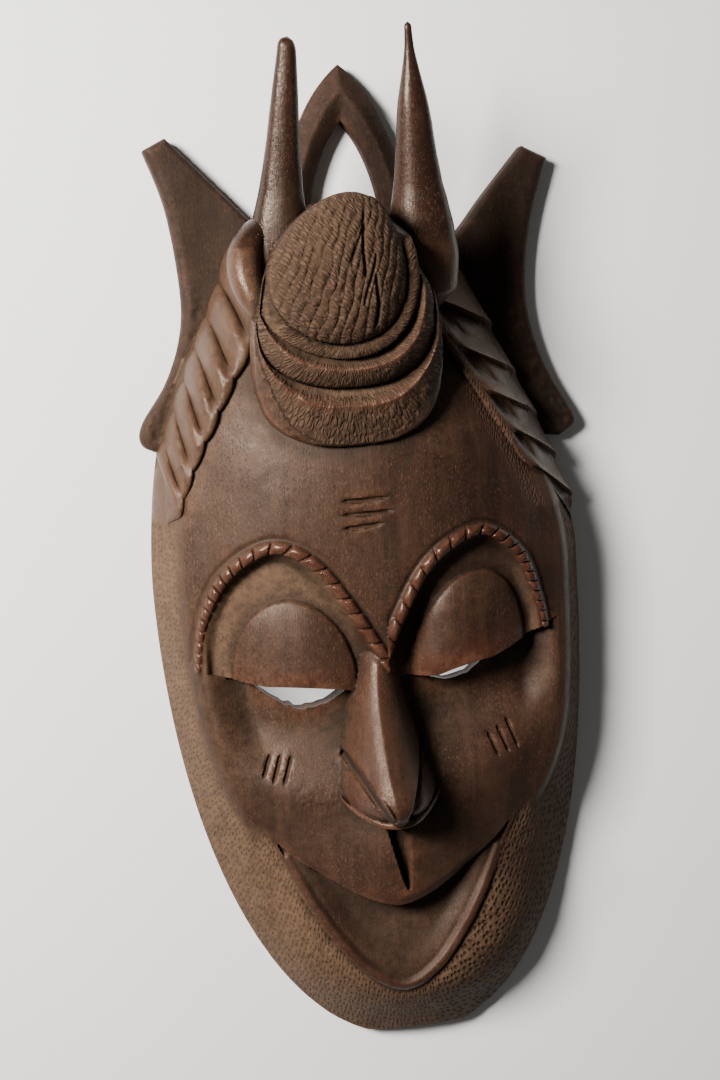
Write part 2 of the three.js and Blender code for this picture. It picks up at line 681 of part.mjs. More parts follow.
function carve() {
  const front = (x, y) => cheekHeight(x, y);
  let solid = makeBlock();
  const cut = (tool) => { solid = solid.subtract(tool); };
  const add = (form) => { solid = solid.add(form); };
  [0, 1].map(cheekCut).forEach(cut);
  [0, 1].map(makeLid).forEach(add);
  cut(mouthCut());
  add(makeBar(lipLine, 18, lowerLip.roll, lowerLip.sunk));
  add(makeNose());
  browLines.forEach((line) => add(makeBar(line, 18, brow.radius, brow.sunk)));
  rolls.map(makeRoll).forEach(add);
  add(makeKnot());
  braids.map(makeBraid).forEach(add);
  horns.map(makeHorn).forEach(add);
  wings.map(makeWing).forEach(add);
  add(makeLoop());
  cut(makeHollow());
  slits.map(slitCut).forEach(cut);
  browNotches().forEach(cut);
  nostrilCuts.forEach(([from, to]) => cut(groove(from, to, nostrilCut.width, nostrilCut.depth, () => nostrilCut.height)));
  cut(groove(philtrum.from, philtrum.to, philtrum.width, philtrum.depth, groundHeight, 0.15));
  scars.forEach(([from, to]) => cut(groove(from, to, scar.width, scar.depth, front)));
  return solid;
}

const wood = new THREE.MeshStandardMaterial({ name: 'wood', color: 0x4a2a1c, roughness: 0.5, metalness: 0 });
const mask = new THREE.Mesh(toGeometry(carve()), wood);
mask.name = 'mask';

// The part's own origin is on the back plane, under the middle of its outline
mask.geometry.computeBoundingBox();
const { min, max } = mask.geometry.boundingBox;
mask.position.set(-(min.x + max.x) / 2, -(min.y + max.y) / 2, 0);

const part = new THREE.Group();
part.add(mask);

export default part;
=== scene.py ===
import bmesh
import bpy
import numpy as np
from mathutils import Vector, Matrix


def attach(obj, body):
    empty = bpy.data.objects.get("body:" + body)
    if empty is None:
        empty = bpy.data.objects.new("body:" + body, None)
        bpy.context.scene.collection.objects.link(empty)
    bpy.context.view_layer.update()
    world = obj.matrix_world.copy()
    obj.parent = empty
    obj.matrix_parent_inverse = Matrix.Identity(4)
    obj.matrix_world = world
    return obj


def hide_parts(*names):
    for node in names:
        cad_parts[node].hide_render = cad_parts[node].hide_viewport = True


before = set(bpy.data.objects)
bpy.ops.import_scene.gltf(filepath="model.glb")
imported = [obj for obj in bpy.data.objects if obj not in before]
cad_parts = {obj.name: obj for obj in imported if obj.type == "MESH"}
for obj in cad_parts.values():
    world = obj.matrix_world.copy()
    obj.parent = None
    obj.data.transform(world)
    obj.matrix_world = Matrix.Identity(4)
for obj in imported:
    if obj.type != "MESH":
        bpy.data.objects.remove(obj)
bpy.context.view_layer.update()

bl_info = {
    "name": "African mask",
    "version": (1, 0, 0),
    "blender": (4, 5, 0),
    "location": "3D View > Sidebar > Mask",
    "description": "Carves a horned wooden face mask with tool marks, wear and dust",
    "category": "Add Mesh",
}

# Sizes are in millimetres from the carver's own marks: x from the centre line, y from the chin,
# z from the flat back. The middle of the outline lies here.
OUTLINE_MIDDLE = (2.039, 270.5)

# The oval block
DOME_POWER = 2.4
SIDE_POWER = 1.5
WIDEST_AT = 265.0
HALF_WIDTH = 118.0
REACH_DOWN = 270.0
REACH_UP = 200.0
FULLNESS_DOWN = 2.2
FULLNESS_UP = 1.7
CROWN_END = 462.0
RIM = 10.0
CREST = [
    (0, 30), (36, 47), (60, 50), (90, 60), (130, 66), (180, 66), (225, 69), (260, 74),
    (300, 79), (340, 83), (380, 85), (420, 82), (445, 74), (466, 60),
]
RIDGE = [(0, 30), (36, 44), (115, 43), (200, 42), (300, 45), (380, 50), (430, 48), (466, 34)]
RIDGE_SHARE = 0.842
RIDGE_PINCH = (0.078, 0.125)
PINCH_AT = 110.0
PINCH_SPREAD = 42.0

# Brow cords, eye lines and lids, left and right
BROWS = [
    [(-97, 222), (-93, 247), (-80, 272), (-57, 286), (-36, 277), (-17, 251), (2, 219)],
    [(-3, 221), (7, 246), (22, 272), (42, 286), (58, 287), (76, 272), (87, 245), (90, 232)],
]
EYE_LINES = [
    {"out": -1, "inner": 25, "y": 208, "rise": 12, "reach": 71},
    {"out": 1, "inner": 20, "y": 212, "rise": 21, "reach": 72},
]
LIDS = [{"x": -47, "half": 32.5, "height": 48}, {"x": 46, "half": 31.5, "height": 50}]
LID = {"border": 1.3, "swell": 9.0, "roundness": 0.7}
SOCKET = {"deep": 8, "outer_rise": 0.4, "by_nose": 4.5, "by_nose_x": 15, "by_nose_spread": 8}
CHEEK = {"deep": 14.0, "flat_to": 20, "out_at": 62, "by_nose": 0.25, "by_nose_x": 36, "by_nose_spread": 24}
CORD = {"half": 3.5, "left_ends": (1.9, 3.2), "right_ends": (3.5, 2.3), "sunk": 0.8, "rise": 1.05}
NOTCH = {"wide_pitch": 9.8, "close_pitch": 6.0, "deep": 1.9, "half": 0.95, "slant": 0.055}

# Nose
NOSE_RIDGE = [
    (134, 80), (139, 88), (143, 95), (148, 100), (156, 101), (175, 92), (200, 79), (222, 71), (240, 65),
]
NOSE_LEFT = [(138, -21), (145, -27), (151, -28.5), (172, -25.5), (202, -19.5), (214, -16), (240, -9)]
NOSE_RIGHT = [(138, 17), (145, 25), (151, 26.5), (172, 19), (190, 13.5), (208, 8.5), (240, 3)]
NOSE_MIDDLE = [(138, -2), (150, -4), (165, -6), (180, -7), (210, -7), (240, -3)]
NOSE_FOOT = {"middle": -1, "low": 137.8, "rise": 11, "reach": 27, "curl": 2.5}
NOSE_CUTS = [
    {"from": (-25, 175), "to": (-6.0, 144.5), "side": -1, "drop": 11.0},
    {"from": (18.5, 178), "to": (3.0, 145.5), "side": 1, "drop": 9.5},
]
NOSE_BALLS = [
    {"x": -17, "y": 152, "long": 16, "wide": 8.5, "course": (0.62, -0.78), "bulge": 7.0},
    {"x": 16, "y": 153, "long": 16, "wide": 8.5, "course": (-0.47, -0.88), "bulge": 5.0},
]

# Mouth
UPPER_LIP = {"x": 2, "low": 87.5, "rise": 31, "reach": 57, "curl": 1.6}
LOWER_LIP = {"x": 5, "low": 37.5, "rise": 77, "left": 62, "right": 57, "curl": 1.7}
LOWER_LIP_MARKS = (-57, -42, -27, -12, 5, 22, 36, 49, 60)
MOUTH = {"rim": 1.6, "wall": 2.4, "floor": 1.3, "under_lip": 6.5, "lip_half": 3.4, "lip_rise": 2.6}
GROOVE = {"top": 138, "length": 42, "end": 96.5, "top_x": -0.5, "end_x": 6.3, "half": 7.2, "deep": 9.5}

# Crown: an egg-shaped knot in a ring, on two rolls
KNOT = {"x": -17, "y": 424, "half": 33, "long": 37, "lean": 0.31, "taper": 0.2, "base": 95, "height": 20}
KNOT_ROW = 4.6
SPLITS = [
    {"row": 8.5, "from": -4, "to": 24, "deep": 3.0}, {"row": 16.5, "from": -26, "to": 2, "deep": 3.0},
    {"row": 4.5, "from": -2, "to": 30, "deep": 1.6}, {"row": 13, "from": -18, "to": 12, "deep": 1.5},
]
RING = 7.0
ROLLS = [
    {"x": -14, "y": 396, "half": 44, "down": 30.5, "up": 52, "power": 2.2, "top": 100.5, "tilt": 3,
     "section": [(0, 9.5), (0.05, 7.6), (0.18, 5), (0.36, 2.3), (0.52, 0.6), (0.62, 0), (0.72, 1),
                 (0.84, 4.8), (1, 7.5)]},
    {"x": -13, "y": 378, "half": 47.5, "down": 42, "up": 60, "power": 2.6, "top": 92.5, "tilt": 3,
     "section": [(0, 9), (0.05, 7.2), (0.16, 5.8), (0.36, 3.6), (0.56, 1.3), (0.68, 0), (0.76, 1.3),
                 (0.87, 4.8), (1, 7.5)]},
]
CRESTS = (0.62, 0.68)
CROWN_MIDDLE = (-14.0, 400.0)
CROWN_RIM = 67

BRAIDS = [
    {
        "path": [(-54, 430), (-64, 408), (-78, 380), (-91, 353), (-101, 330), (-107, 311)],
        "strands": 7, "half": 16, "end_half": 9, "inner": 1, "slant": 13, "furrow": 0.5,
    },
    {
        "path": [(37, 432), (47, 409), (59, 384), (74, 356), (90, 328), (103, 300)],
        "strands": 5.4, "half": 22, "end_half": 12, "inner": -1, "slant": 21, "furrow": 0.62,
    },
]

HORN_PROFILE = [(-42, 0), (-24, 11), (0, 16), (22, 14.5), (42, 11), (66, 8.3), (90, 6.6), (108, 5)]
HORNS = [
    {"root": (-44, 424, 60), "tip": (-35, 536, 84), "tip_radius": 4.7, "swell": 1.0, "start": -38,
     "facet": 0.07, "facet_at": 1.9, "facet_spread": 0.45, "tip_slant": 2.2},
    {"root": (31, 424, 60), "tip": (24, 541, 86), "tip_radius": 1.6, "swell": 1.14, "start": -24,
     "facet": 0.04, "facet_at": 1.2, "facet_spread": 0.4, "tip_slant": 0},
]

LOOP = {"foot": 440, "tip": 534, "tip_inside": 505, "half": 39, "inside": 21, "thick": 15}
LOBE_PATH = [
    (-45, 446, 56), (-54, 444, 64), (-61, 434, 70), (-61.5, 420, 75), (-57, 407, 79), (-51, 396, 83),
]
LOBE_RADII = [5, 7.6, 8.6, 8, 6.2, 3]
WING_TOP = 13.6
WINGS = [
    {
        "edge": [(-107, 334), (-117, 339), (-116, 350), (-102, 371), (-93, 395), (-91, 420),
                 (-96, 462), (-106, 493)],
        "inner": [(-70, 335), (-55, 370), (-40, 410), (-30, 440), (-42, 450), (-51, 454),
                  (-72, 476), (-94, 499)],
    },
    {
        "edge": [(113, 330), (122, 336), (121, 343), (107, 369), (99, 395), (98, 422),
                 (103, 452), (112, 481)],
        "inner": [(70, 335), (55, 370), (40, 410), (32, 436), (45, 441), (57, 441), (76, 463), (98, 488)],
    },
]

# The photograph's view: angles in degrees, places in millimetres
CAMERA = {"yaw": 8.5, "pitch": 7.0, "roll": -3.2292, "aim": (-6.7468, 283.4727, 40), "distance": 874.5}
WINDOW = {"place": (-0.84, 0.47, 0.90), "size": (0.28, 0.46), "tone": (1.0, 0.985, 0.965)}
FILL = {"place": (0.9, -0.6, 1.2), "size": (1.4, 1.4), "tone": (1.0, 0.99, 0.98)}

# Wood below the back plane, cut off at the end
SPARE_BELOW = 3.0

# Hollow with its gouge marks, and eye slits
HOLLOW_SHARE = 0.865
CROWN_HOLLOW_SHARE = 0.84
HOLLOW = [(20, 26), (60, 36), (110, 38), (160, 39), (205, 38), (240, 46), (300, 56), (380, 58), (440, 40)]
SLITS = [
    {"from": (-69, 212.5), "to": (-19, 208), "sag": 12.5, "ragged": 1.2},
    {"from": (23, 211), "to": (58, 219.5), "sag": 8.0, "ragged": 0.8},
]
GOUGE = {"width": 4.2, "length": 21, "deep": 0.8}

# Scar cuts: three on the forehead, then three on each cheek
SCAR = {"half": 1.25, "deep": 2.4}
SCARS = [
    ((-22, 308), (4, 309)), ((-22, 301), (7, 302)), ((-21, 294), (1, 296)),
    ((-62, 174), (-67, 161)), ((-56.5, 174), (-62, 158)), ((-51, 173), (-56.5, 157)),
    ((54.5, 177), (60, 163)), ((60, 180), (66, 164)), ((65.5, 183.5), (71.5, 166)),
]


def ease(value, low, high):
    t = np.clip((value - low) / (high - low), 0, 1)
    return t * t * (3 - 2 * t)


def lerp(a, b, t):
    return a + (b - a) * t


def along(stations, at):
    """Smooth curve through stations (place, value), read at many places."""
    places = np.array([s[0] for s in stations], float)
    values = np.array([s[1] for s in stations], float)
    last = len(places) - 1
    i = np.clip(np.searchsorted(places, at, side="left") - 1, 0, last - 1)
    before = np.maximum(i - 1, 0)
    after = np.minimum(i + 2, last)
    span = places[i + 1] - places[i]
    t = np.clip((at - places[i]) / span, 0, 1)
    slope0 = (values[i + 1] - values[before]) / (places[i + 1] - places[before]) * span
    slope1 = (values[after] - values[i]) / (places[after] - places[i]) * span
    t2, t3 = t * t, t * t * t
    return ((2 * t3 - 3 * t2 + 1) * values[i] + (t3 - 2 * t2 + t) * slope0
            + (3 * t2 - 2 * t3) * values[i + 1] + (t3 - t2) * slope1)


class Line:
    """Smooth line through points, cut into equal steps."""

    def __init__(self, points, steps=96):
        points = np.array(points, float)
        last = len(points) - 1
        fine = []
        for i in range(last):
            p0, p1, p2, p3 = (points[max(i - 1, 0)], points[i], points[i + 1], points[min(i + 2, last)])
            for t in np.linspace(0, 1, 24, endpoint=False):
                fine.append(0.5 * (2 * p1 + (p2 - p0) * t + (2 * p0 - 5 * p1 + 4 * p2 - p3) * t * t
                                   + (3 * p1 - p0 - 3 * p2 + p3) * t ** 3))
        fine.append(points[-1])
        fine = np.array(fine)
        run = np.concatenate([[0], np.cumsum(np.hypot(*np.diff(fine, axis=0).T))])
        self.length = run[-1]
        even = np.linspace(0, self.length, steps + 1)
        self.points = np.column_stack([np.interp(even, run, fine[:, k]) for k in range(2)])
        self.run = even

    def at(self, share):
        """Points at shares of the length, carried straight on past the ends."""
        run = np.asarray(share, float) * self.length
        inside = np.clip(run, 0, self.length)
        spot = np.stack([np.interp(inside, self.run, self.points[:, k]) for k in range(2)], -1)
        step = self.length * 0.01
        ahead = np.stack([np.interp(np.minimum(inside + step, self.length), self.run, self.points[:, k])
                          for k in range(2)], -1)
        back = np.stack([np.interp(np.maximum(inside - step, 0), self.run, self.points[:, k])
                         for k in range(2)], -1)
        course = ahead - back
        course /= np.linalg.norm(course, axis=-1, keepdims=True)
        return spot + course * (run - inside)[..., None], course

    def near(self, x, y):
        """Distance to the line and how far along it the nearest point lies."""
        nearest = np.full(np.shape(x), np.inf)
        length = np.zeros(np.shape(x))
        for a, b, start in zip(self.points[:-1:2], self.points[2::2], self.run[:-1:2]):
            d = b - a
            size = np.hypot(*d)
            t = np.clip(((x - a[0]) * d[0] + (y - a[1]) * d[1]) / size ** 2, 0, 1)
            gap = np.hypot(x - a[0] - t * d[0], y - a[1] - t * d[1])
            closer = gap < nearest
            nearest = np.where(closer, gap, nearest)
            length = np.where(closer, start + t * size, length)
        return nearest, length

    def height_over(self, x):
        return np.interp(x, self.points[:, 0], self.points[:, 1], left=-1e3, right=-1e3)


def value_noise(x, y, size, seed):
    """Soft noise from -1 to 1 with lumps of about the given size."""
    rng = np.random.default_rng(seed)
    table = rng.uniform(-1, 1, (256, 256))
    u, v = x / size + 97.0, y / size + 61.0
    i, j = np.floor(u).astype(int), np.floor(v).astype(int)
    fu, fv = u - i, v - j
    fu, fv = fu * fu * (3 - 2 * fu), fv * fv * (3 - 2 * fv)
    a, b = table[j % 256, i % 256], table[j % 256, (i + 1) % 256]
    c, d = table[(j + 1) % 256, i % 256], table[(j + 1) % 256, (i + 1) % 256]
    return lerp(lerp(a, b, fu), lerp(c, d, fu), fv)


def notch_phase(line, outward_last):
    """Count of notches along a brow: closer together towards its outer end."""
    share = line.run / line.length
    far = share if outward_last else 1 - share
    pitch = lerp(NOTCH["wide_pitch"], NOTCH["close_pitch"], ease(far, 0.45, 0.75))
    return np.concatenate([[0], np.cumsum(np.diff(line.run) / pitch[:-1])])


brow_lines = [Line(points) for points in BROWS]
brow_phases = [notch_phase(brow_lines[0], False), notch_phase(brow_lines[1], True)]


def centre_x(y):
    low = 1.5 + 12.5 * (1 - np.clip(y, 0, 260) / 260) ** 1.3
    high = 1.5 - 7.5 * ease(y, 265, 385)
    return np.where(y < 260, low, high)


def oval_parts(y):
    up = y > WIDEST_AT
    power = np.where(up, FULLNESS_UP, FULLNESS_DOWN)
    lengthwise = np.abs(y - WIDEST_AT) / np.where(up, REACH_UP, REACH_DOWN)
    return power, lengthwise


def oval_share(x, y):
    power, lengthwise = oval_parts(y)
    crosswise = np.abs(x - centre_x(y)) / HALF_WIDTH
    return (lengthwise ** power + crosswise ** power) ** (1 / power)


def half_width(y, share=1.0):
    power, lengthwise = oval_parts(y)
    return HALF_WIDTH * np.maximum(share ** power - lengthwise ** power, 0) ** (1 / power)


def ridge_share(x, y):
    pinch = lerp(RIDGE_PINCH[0], RIDGE_PINCH[1], ease(x - centre_x(y), -35, 35))
    return RIDGE_SHARE - pinch * np.exp(-((y - PINCH_AT) / PINCH_SPREAD) ** 2)


def block_height(x, y):
    share, ridge = oval_share(x, y), ridge_share(x, y)
    ridge_z, crest = along(RIDGE, y), along(CREST, y)
    dome = crest - (crest - ridge_z) * np.minimum(share / ridge, 1) ** DOME_POWER
    down = np.clip((share - ridge) / (1 - ridge), 0, 1)
    return np.where(share < ridge, dome, ridge_z - (ridge_z - RIM) * down ** SIDE_POWER)


def eye_line(x):
    lines = []
    for line in EYE_LINES:
        beyond = np.maximum(line["out"] * x - line["inner"], 0) / line["reach"]
        lines.append(line["y"] + line["rise"] * beyond ** 1.55)
    return np.where(x < 0, *lines)


def upper_lip(x):
    lip = UPPER_LIP
    return lip["low"] + lip["rise"] * (np.abs(x - lip["x"]) / lip["reach"]) ** lip["curl"]


def lower_lip(x):
    lip = LOWER_LIP
    reach = np.where(x < lip["x"], lip["left"], lip["right"])
    return lip["low"] + lip["rise"] * (np.abs(x - lip["x"]) / reach) ** lip["curl"]


lower_lip_line = Line([(x, float(lower_lip(np.float64(x)))) for x in LOWER_LIP_MARKS])


def inside_ridge(x, y, fade):
    share, ridge = oval_share(x, y), ridge_share(x, y)
    return 1 - ease(share, ridge - fade, ridge - 0.01)


def bead_height(x, y):
    fade = ease(y, 115, 150) * (1 - ease(y, 300, 335))
    across = (oval_share(x, y) - ridge_share(x, y)) * HALF_WIDTH
    return 1.5 * fade * np.exp(-(across / 6.5) ** 2)


def muzzle_height(x, y):
    across = np.exp(-((x - UPPER_LIP["x"]) / 36) ** 2)
    return 10 * across * (1 - ease(y, 112, 148)) * ease(y - lower_lip(x), 0, 15)


def round_bar(distance, radius):
    return np.sqrt(np.maximum(1 - (distance / radius) ** 2, 0))


def brow_nearest(x, y):
    """Distance to the brow of this side, its notch count there and its half thickness."""
    found = []
    for line, phases, ends in zip(brow_lines, brow_phases, (CORD["left_ends"], CORD["right_ends"])):
        gap, run = line.near(x, y)
        share = run / line.length
        half = lerp(lerp(ends[0], CORD["half"], ease(share, 0.03, 0.3)), ends[1], ease(share, 0.7, 1))
        found.append((gap, np.interp(run, line.run, phases), half))
    left = x < 0.5
    return tuple(np.where(left, a, b) for a, b in zip(*found))


def groove_places(x, y):
    """Share of the way down the groove over the lip, and distance to the right of its middle."""
    down = np.clip((GROOVE["top"] - y) / GROOVE["length"], 0, 1)
    return down, x - lerp(GROOVE["top_x"], GROOVE["end_x"], down)


def nose_foot(x):
    foot = NOSE_FOOT
    return foot["low"] + foot["rise"] * (np.abs(x - foot["middle"]) / foot["reach"]) ** foot["curl"]


def nose_height(x, y, ground):
    """Nose with broad front facets, a ball on each side of the tip and a thin lower rim."""
    foot = nose_foot(x)
    high = np.clip(y, 138, 240)
    middle, left, right = along(NOSE_MIDDLE, high), along(NOSE_LEFT, high), along(NOSE_RIGHT, high)
    side = np.where(x < middle, (middle - x) / (middle - left), (x - middle) / (right - middle))
    side = np.clip(side, 0, 1)
    ridge = along(NOSE_RIDGE, np.clip(y, 134, 240))
    sunk = 9
    base = block_height(x, y) - sunk
    body = np.maximum(ridge - base, 0) * (1 - 0.34 * side ** 1.25 - 0.66 * side ** 3.4)
    for cut in NOSE_CUTS:
        start, end = np.array(cut["from"], float), np.array(cut["to"], float)
        d = end - start
        size = np.hypot(*d)
        t = ((x - start[0]) * d[0] + (y - start[1]) * d[1]) / size ** 2
        outward = cut["side"] * ((x - start[0]) * -d[1] + (y - start[1]) * d[0]) / size
        on = ease(t, -0.06, 0.10)
        body = body - cut["drop"] * on * ease(outward, -0.4, 2.2) * np.minimum(body / 20, 1)
        furrow = np.maximum(1 - np.abs(outward) / 2.1, 0) * (t < 1.02)
        body = body - 6.5 * on * (1 - 0.4 * np.clip(t, 0, 1)) * furrow
    for ball in NOSE_BALLS:
        p = (x - ball["x"]) * ball["course"][0] + (y - ball["y"]) * ball["course"][1]
        q = (y - ball["y"]) * ball["course"][0] - (x - ball["x"]) * ball["course"][1]
        inside = np.maximum(1 - (p / ball["long"]) ** 2 - (q / ball["wide"]) ** 2, 0)
        body = body + ball["bulge"] * inside ** 0.6
    below = np.clip((y - foot) / 8, 0, 1)
    body = np.maximum(body, 0) * (1 - 0.12 * (1 - below) ** 2)
    on_nose = (side < 1) & (y > foot)
    height = np.where(on_nose, np.maximum(ground, base + body * (1 - ease(y, 222, 242))), ground)
    reach = np.clip(np.abs(x - NOSE_FOOT["middle"]) / NOSE_FOOT["reach"], 0, 1)
    rim = 58 + 26 * (1 - reach ** 2) + 1.3 * round_bar(y - foot - 1.5, 1.7)
    on_rim = (y > foot) & (y < foot + 3.2) & (reach < 0.97)
    return np.where(on_rim, np.maximum(height, rim), height)


def cut_line(height, x, y, start, end, half, depth, taper=(0.25, 0.25)):
    """Narrow V-shaped cut from start to end, shallow at its ends."""
    start, end = np.array(start, float), np.array(end, float)
    d = end - start
    size = np.hypot(*d)
    t = ((x - start[0]) * d[0] + (y - start[1]) * d[1]) / size ** 2
    off = np.abs((x - start[0]) * d[1] - (y - start[1]) * d[0]) / size
    inside = np.clip(t / taper[0], 0, 1) * np.clip((1 - t) / taper[1], 0, 1)
    return height - depth * inside * np.maximum(1 - off / (half * np.maximum(inside, 0.2)), 0)


def sunk_eyes(x, y, ground, brow_gap, under_arch):
    """The ground with its sockets, the hollows under the eye lines, and the lids."""
    above = y - eye_line(x)
    socket = SOCKET["deep"] * ease(brow_gap, 1, 9) * inside_ridge(x, y, 0.05)
    socket = socket * (1 - SOCKET["outer_rise"] * ease(np.abs(x), 62, 92))
    by_nose = np.exp(-((x - SOCKET["by_nose_x"]) / SOCKET["by_nose_spread"]) ** 2)
    socket = socket + SOCKET["by_nose"] * by_nose * ease(brow_gap, 2, 7)
    socket = socket * ease(x, -97, -89) * (1 - ease(x, 81, 89))
    socket = np.where(under_arch & (above > 0), socket, 0)

    fade = 1 - ease(-above, CHEEK["flat_to"], CHEEK["out_at"])
    cheek = np.where(above < 0, CHEEK["deep"] * inside_ridge(x, y, 0.19) * fade, 0)
    by_nose = np.exp(-((x - CHEEK["by_nose_x"]) / CHEEK["by_nose_spread"]) ** 2)
    cheek = cheek * (1 + CHEEK["by_nose"] * by_nose * (1 - ease(-above, 10, 45)))
    height = ground - np.maximum(socket, cheek)

    # Lids are thickest at their lower edge and have a low bevelled border
    for side, lid in zip((x < 0.5, x >= 0.5), LIDS):
        swell = np.maximum(1 - ((x - lid["x"]) / lid["half"]) ** 2 - (above / lid["height"]) ** 2, 0)
        border = LID["border"] * ease(swell, 0, 0.07)
        dome = ground - socket + border + LID["swell"] * swell ** LID["roundness"]
        height = np.where(side & (above >= 0) & (swell > 0), np.maximum(height, dome), height)
    return height


def with_mouth(x, y, height):
    """A smooth tray under the overhanging upper lip, with a low rounded rim."""
    lip_above = y - upper_lip(x)
    lip_below = y - lower_lip(x)
    gap, _ = lower_lip_line.near(x, y)
    off_middle = x - UPPER_LIP["x"]
    reach = UPPER_LIP["reach"]
    ends = ease(x, -58, -46) * (1 - ease(x, 50, 63))
    deep = MOUTH["wall"] * ease(gap, 0.8, 4.5) + MOUTH["floor"] * ease(gap, 5, 18)
    across = np.maximum(1 - (off_middle / reach) ** 2, 0)
    deep = deep + MOUTH["under_lip"] * across * ease(y, 45, 88) * ease(gap, 1, 14)
    in_mouth = (lip_above < 0) & (lip_below > 0)
    height = np.where(in_mouth, block_height(x, y) + MOUTH["rim"] * ends - deep, height)

    under_lip = (lip_above < 0) & (lip_below <= 0)
    lip_half = MOUTH["lip_half"]
    lip_side = block_height(x, y) + ends * (MOUTH["lip_rise"] * round_bar(gap, lip_half) - 1.0)
    height = np.where(under_lip & (gap < lip_half), np.maximum(height - 1.0 * ends, lip_side), height)
    past = under_lip & (gap >= lip_half) & (gap < 10)
    height = np.where(past, height - 1.0 * ends * (1 - ease(gap, lip_half, 10)), height)

    rolled = (lip_above > 0) & (lip_above < 7) & (np.abs(off_middle) < reach)
    soft = 2.6 * (1 - ease(lip_above, -0.5, 7)) ** 1.5 * (1 - ease(np.abs(off_middle), 40, 55))
    return np.where(rolled, height - soft, height)


def with_groove(x, y, height):
    """Groove from the nose to the lip, steep on its left side."""
    down, off = groove_places(x, y)
    half = GROOVE["half"] * np.sqrt(np.maximum(1 - down, 0)) + 0.01
    steep_side = (off + 0.72 * half) / (0.1 * half)
    slanted_side = (1.05 * half - off) / (0.5 * half)
    share = np.clip(np.minimum(steep_side, slanted_side), 0, 1)
    on = (y < nose_foot(x)) & (y > GROOVE["end"])
    return np.where(on, height - GROOVE["deep"] * (1 - 0.45 * down) * share, height)


def with_cords(x, y, ground, height, under_arch):
    """Brow cords with their slanted notches."""
    gap, count, half = brow_nearest(x, y)
    over_nose = (y > 212) & (np.abs(x) < 16)
    seat = np.where(over_nose, np.maximum(ground, height), ground)
    cord = seat - CORD["sunk"] + CORD["rise"] * half * round_bar(gap, half)
    cord = np.where(gap < half, cord, -1e3)
    phase = (count + np.where(under_arch, 1, -1) * gap * NOTCH["slant"]) % 1
    notch = np.maximum(1 - np.abs(phase - 0.5) * 9 / NOTCH["half"], 0)
    cord = cord - NOTCH["deep"] * notch + 0.35 * np.cos(2 * np.pi * phase) * ease(gap, 3.5, 0)
    height = np.maximum(height, cord)
    outer = (gap < 10) & ~under_arch & (y > 226)
    return np.where(outer, height - 0.8 * np.exp(-((gap - half - 1.2) / 1.3) ** 2), height)


def front_height(x, y):
    """Height of the carved front: face, eyes, nose and mouth."""
    ground = block_height(x, y) + bead_height(x, y) + muzzle_height(x, y)
    brow_gap, _, _ = brow_nearest(x, y)
    under_arch = y < np.where(x < 0.5, *[line.height_over(x) for line in brow_lines])
    height = nose_height(x, y, sunk_eyes(x, y, ground, brow_gap, under_arch))
    for cut, half, deep in zip(NOSE_CUTS, (2.9, 2.2), (8.0, 5.5)):
        height = cut_line(height, x, y, cut["from"], cut["to"], half, deep, (0.08, 0.35))
    height = with_groove(x, y, with_mouth(x, y, height))
    height = with_cords(x, y, ground, height, under_arch)

    for start, end in SCARS:
        height = cut_line(height, x, y, start, end, SCAR["half"], SCAR["deep"], (0.14, 0.14))
    for start, end in SCARS[:3]:
        height = cut_line(height, x, y, (start[0] + 1, start[1] - 1.7), (end[0] - 2, end[1] - 1.7), 0.6, 0.8)

    # Knife facets, dents and the rough patch by the nose
    height = height + 0.30 * value_noise(x, y, 13, 3) + 0.10 * value_noise(x, y, 4.5, 4)
    rough = np.exp(-(((x + 40) / 15) ** 2 + ((y - 147) / 11) ** 2))
    height = height + 0.32 * rough * value_noise(x * 1.6, y * 0.8, 1.5, 5)
    height = height + punched_band(x, y) * (0.35 * value_noise(x, y, 6, 7) - 0.3)
    return np.maximum(height, RIM * 0.8)


def punched_band(x, y):
    """Where the outer band and the jaw are covered with punch marks."""
    start = ridge_share(x, y) + 0.04
    band = ease(oval_share(x, y), start, start + 0.03) * (1 - ease(y, 325, 345))
    jaw = ease(lower_lip(x) - y, 3.8, 7) * (1 - ease(y, 122, 138))
    return np.maximum(band, jaw)


def super_share(x, y, form):
    power = form["power"]
    crosswise = np.abs(x - form["x"]) / form["half"]
    lengthwise = np.abs(y - form["y"]) / np.where(y < form["y"], form["down"], form["up"])
    return (crosswise ** power + lengthwise ** power) ** (1 / power)


def edge_distance(x, y, form):
    """How far a place lies inside the outline of a roll."""
    share = np.maximum(super_share(x, y, form), 1e-3)
    return (1 - share) * np.hypot(x - form["x"], y - form["y"]) / share


def knot_places(x, y):
    """Places along and across the leaning knot, and how far out they lie."""
    right, up = x - KNOT["x"], y - KNOT["y"]
    lengthwise = right * np.sin(KNOT["lean"]) + up * np.cos(KNOT["lean"])
    crosswise = right * np.cos(KNOT["lean"]) - up * np.sin(KNOT["lean"])
    half = KNOT["half"] * (1 - KNOT["taper"] * lengthwise / KNOT["long"])
    share = np.hypot(lengthwise / KNOT["long"], crosswise / half)
    return lengthwise, crosswise, crosswise / half * KNOT["half"], share


def roll_places(x, y, index):
    """Distance inside a roll's outline, share of the way to what lies on it, and that whole way."""
    inside = edge_distance(x, y, ROLLS[index])
    if index == 0:
        lengthwise, crosswise, _, share = knot_places(x, y)
        beyond = (share - 1) * np.hypot(lengthwise, crosswise) / np.maximum(share, 1e-3) - RING
    else:
        beyond = -edge_distance(x, y, ROLLS[0])
    width = np.maximum(inside + np.maximum(beyond, 0), 0.5)
    return inside, np.clip(inside / width, 0, 1), width


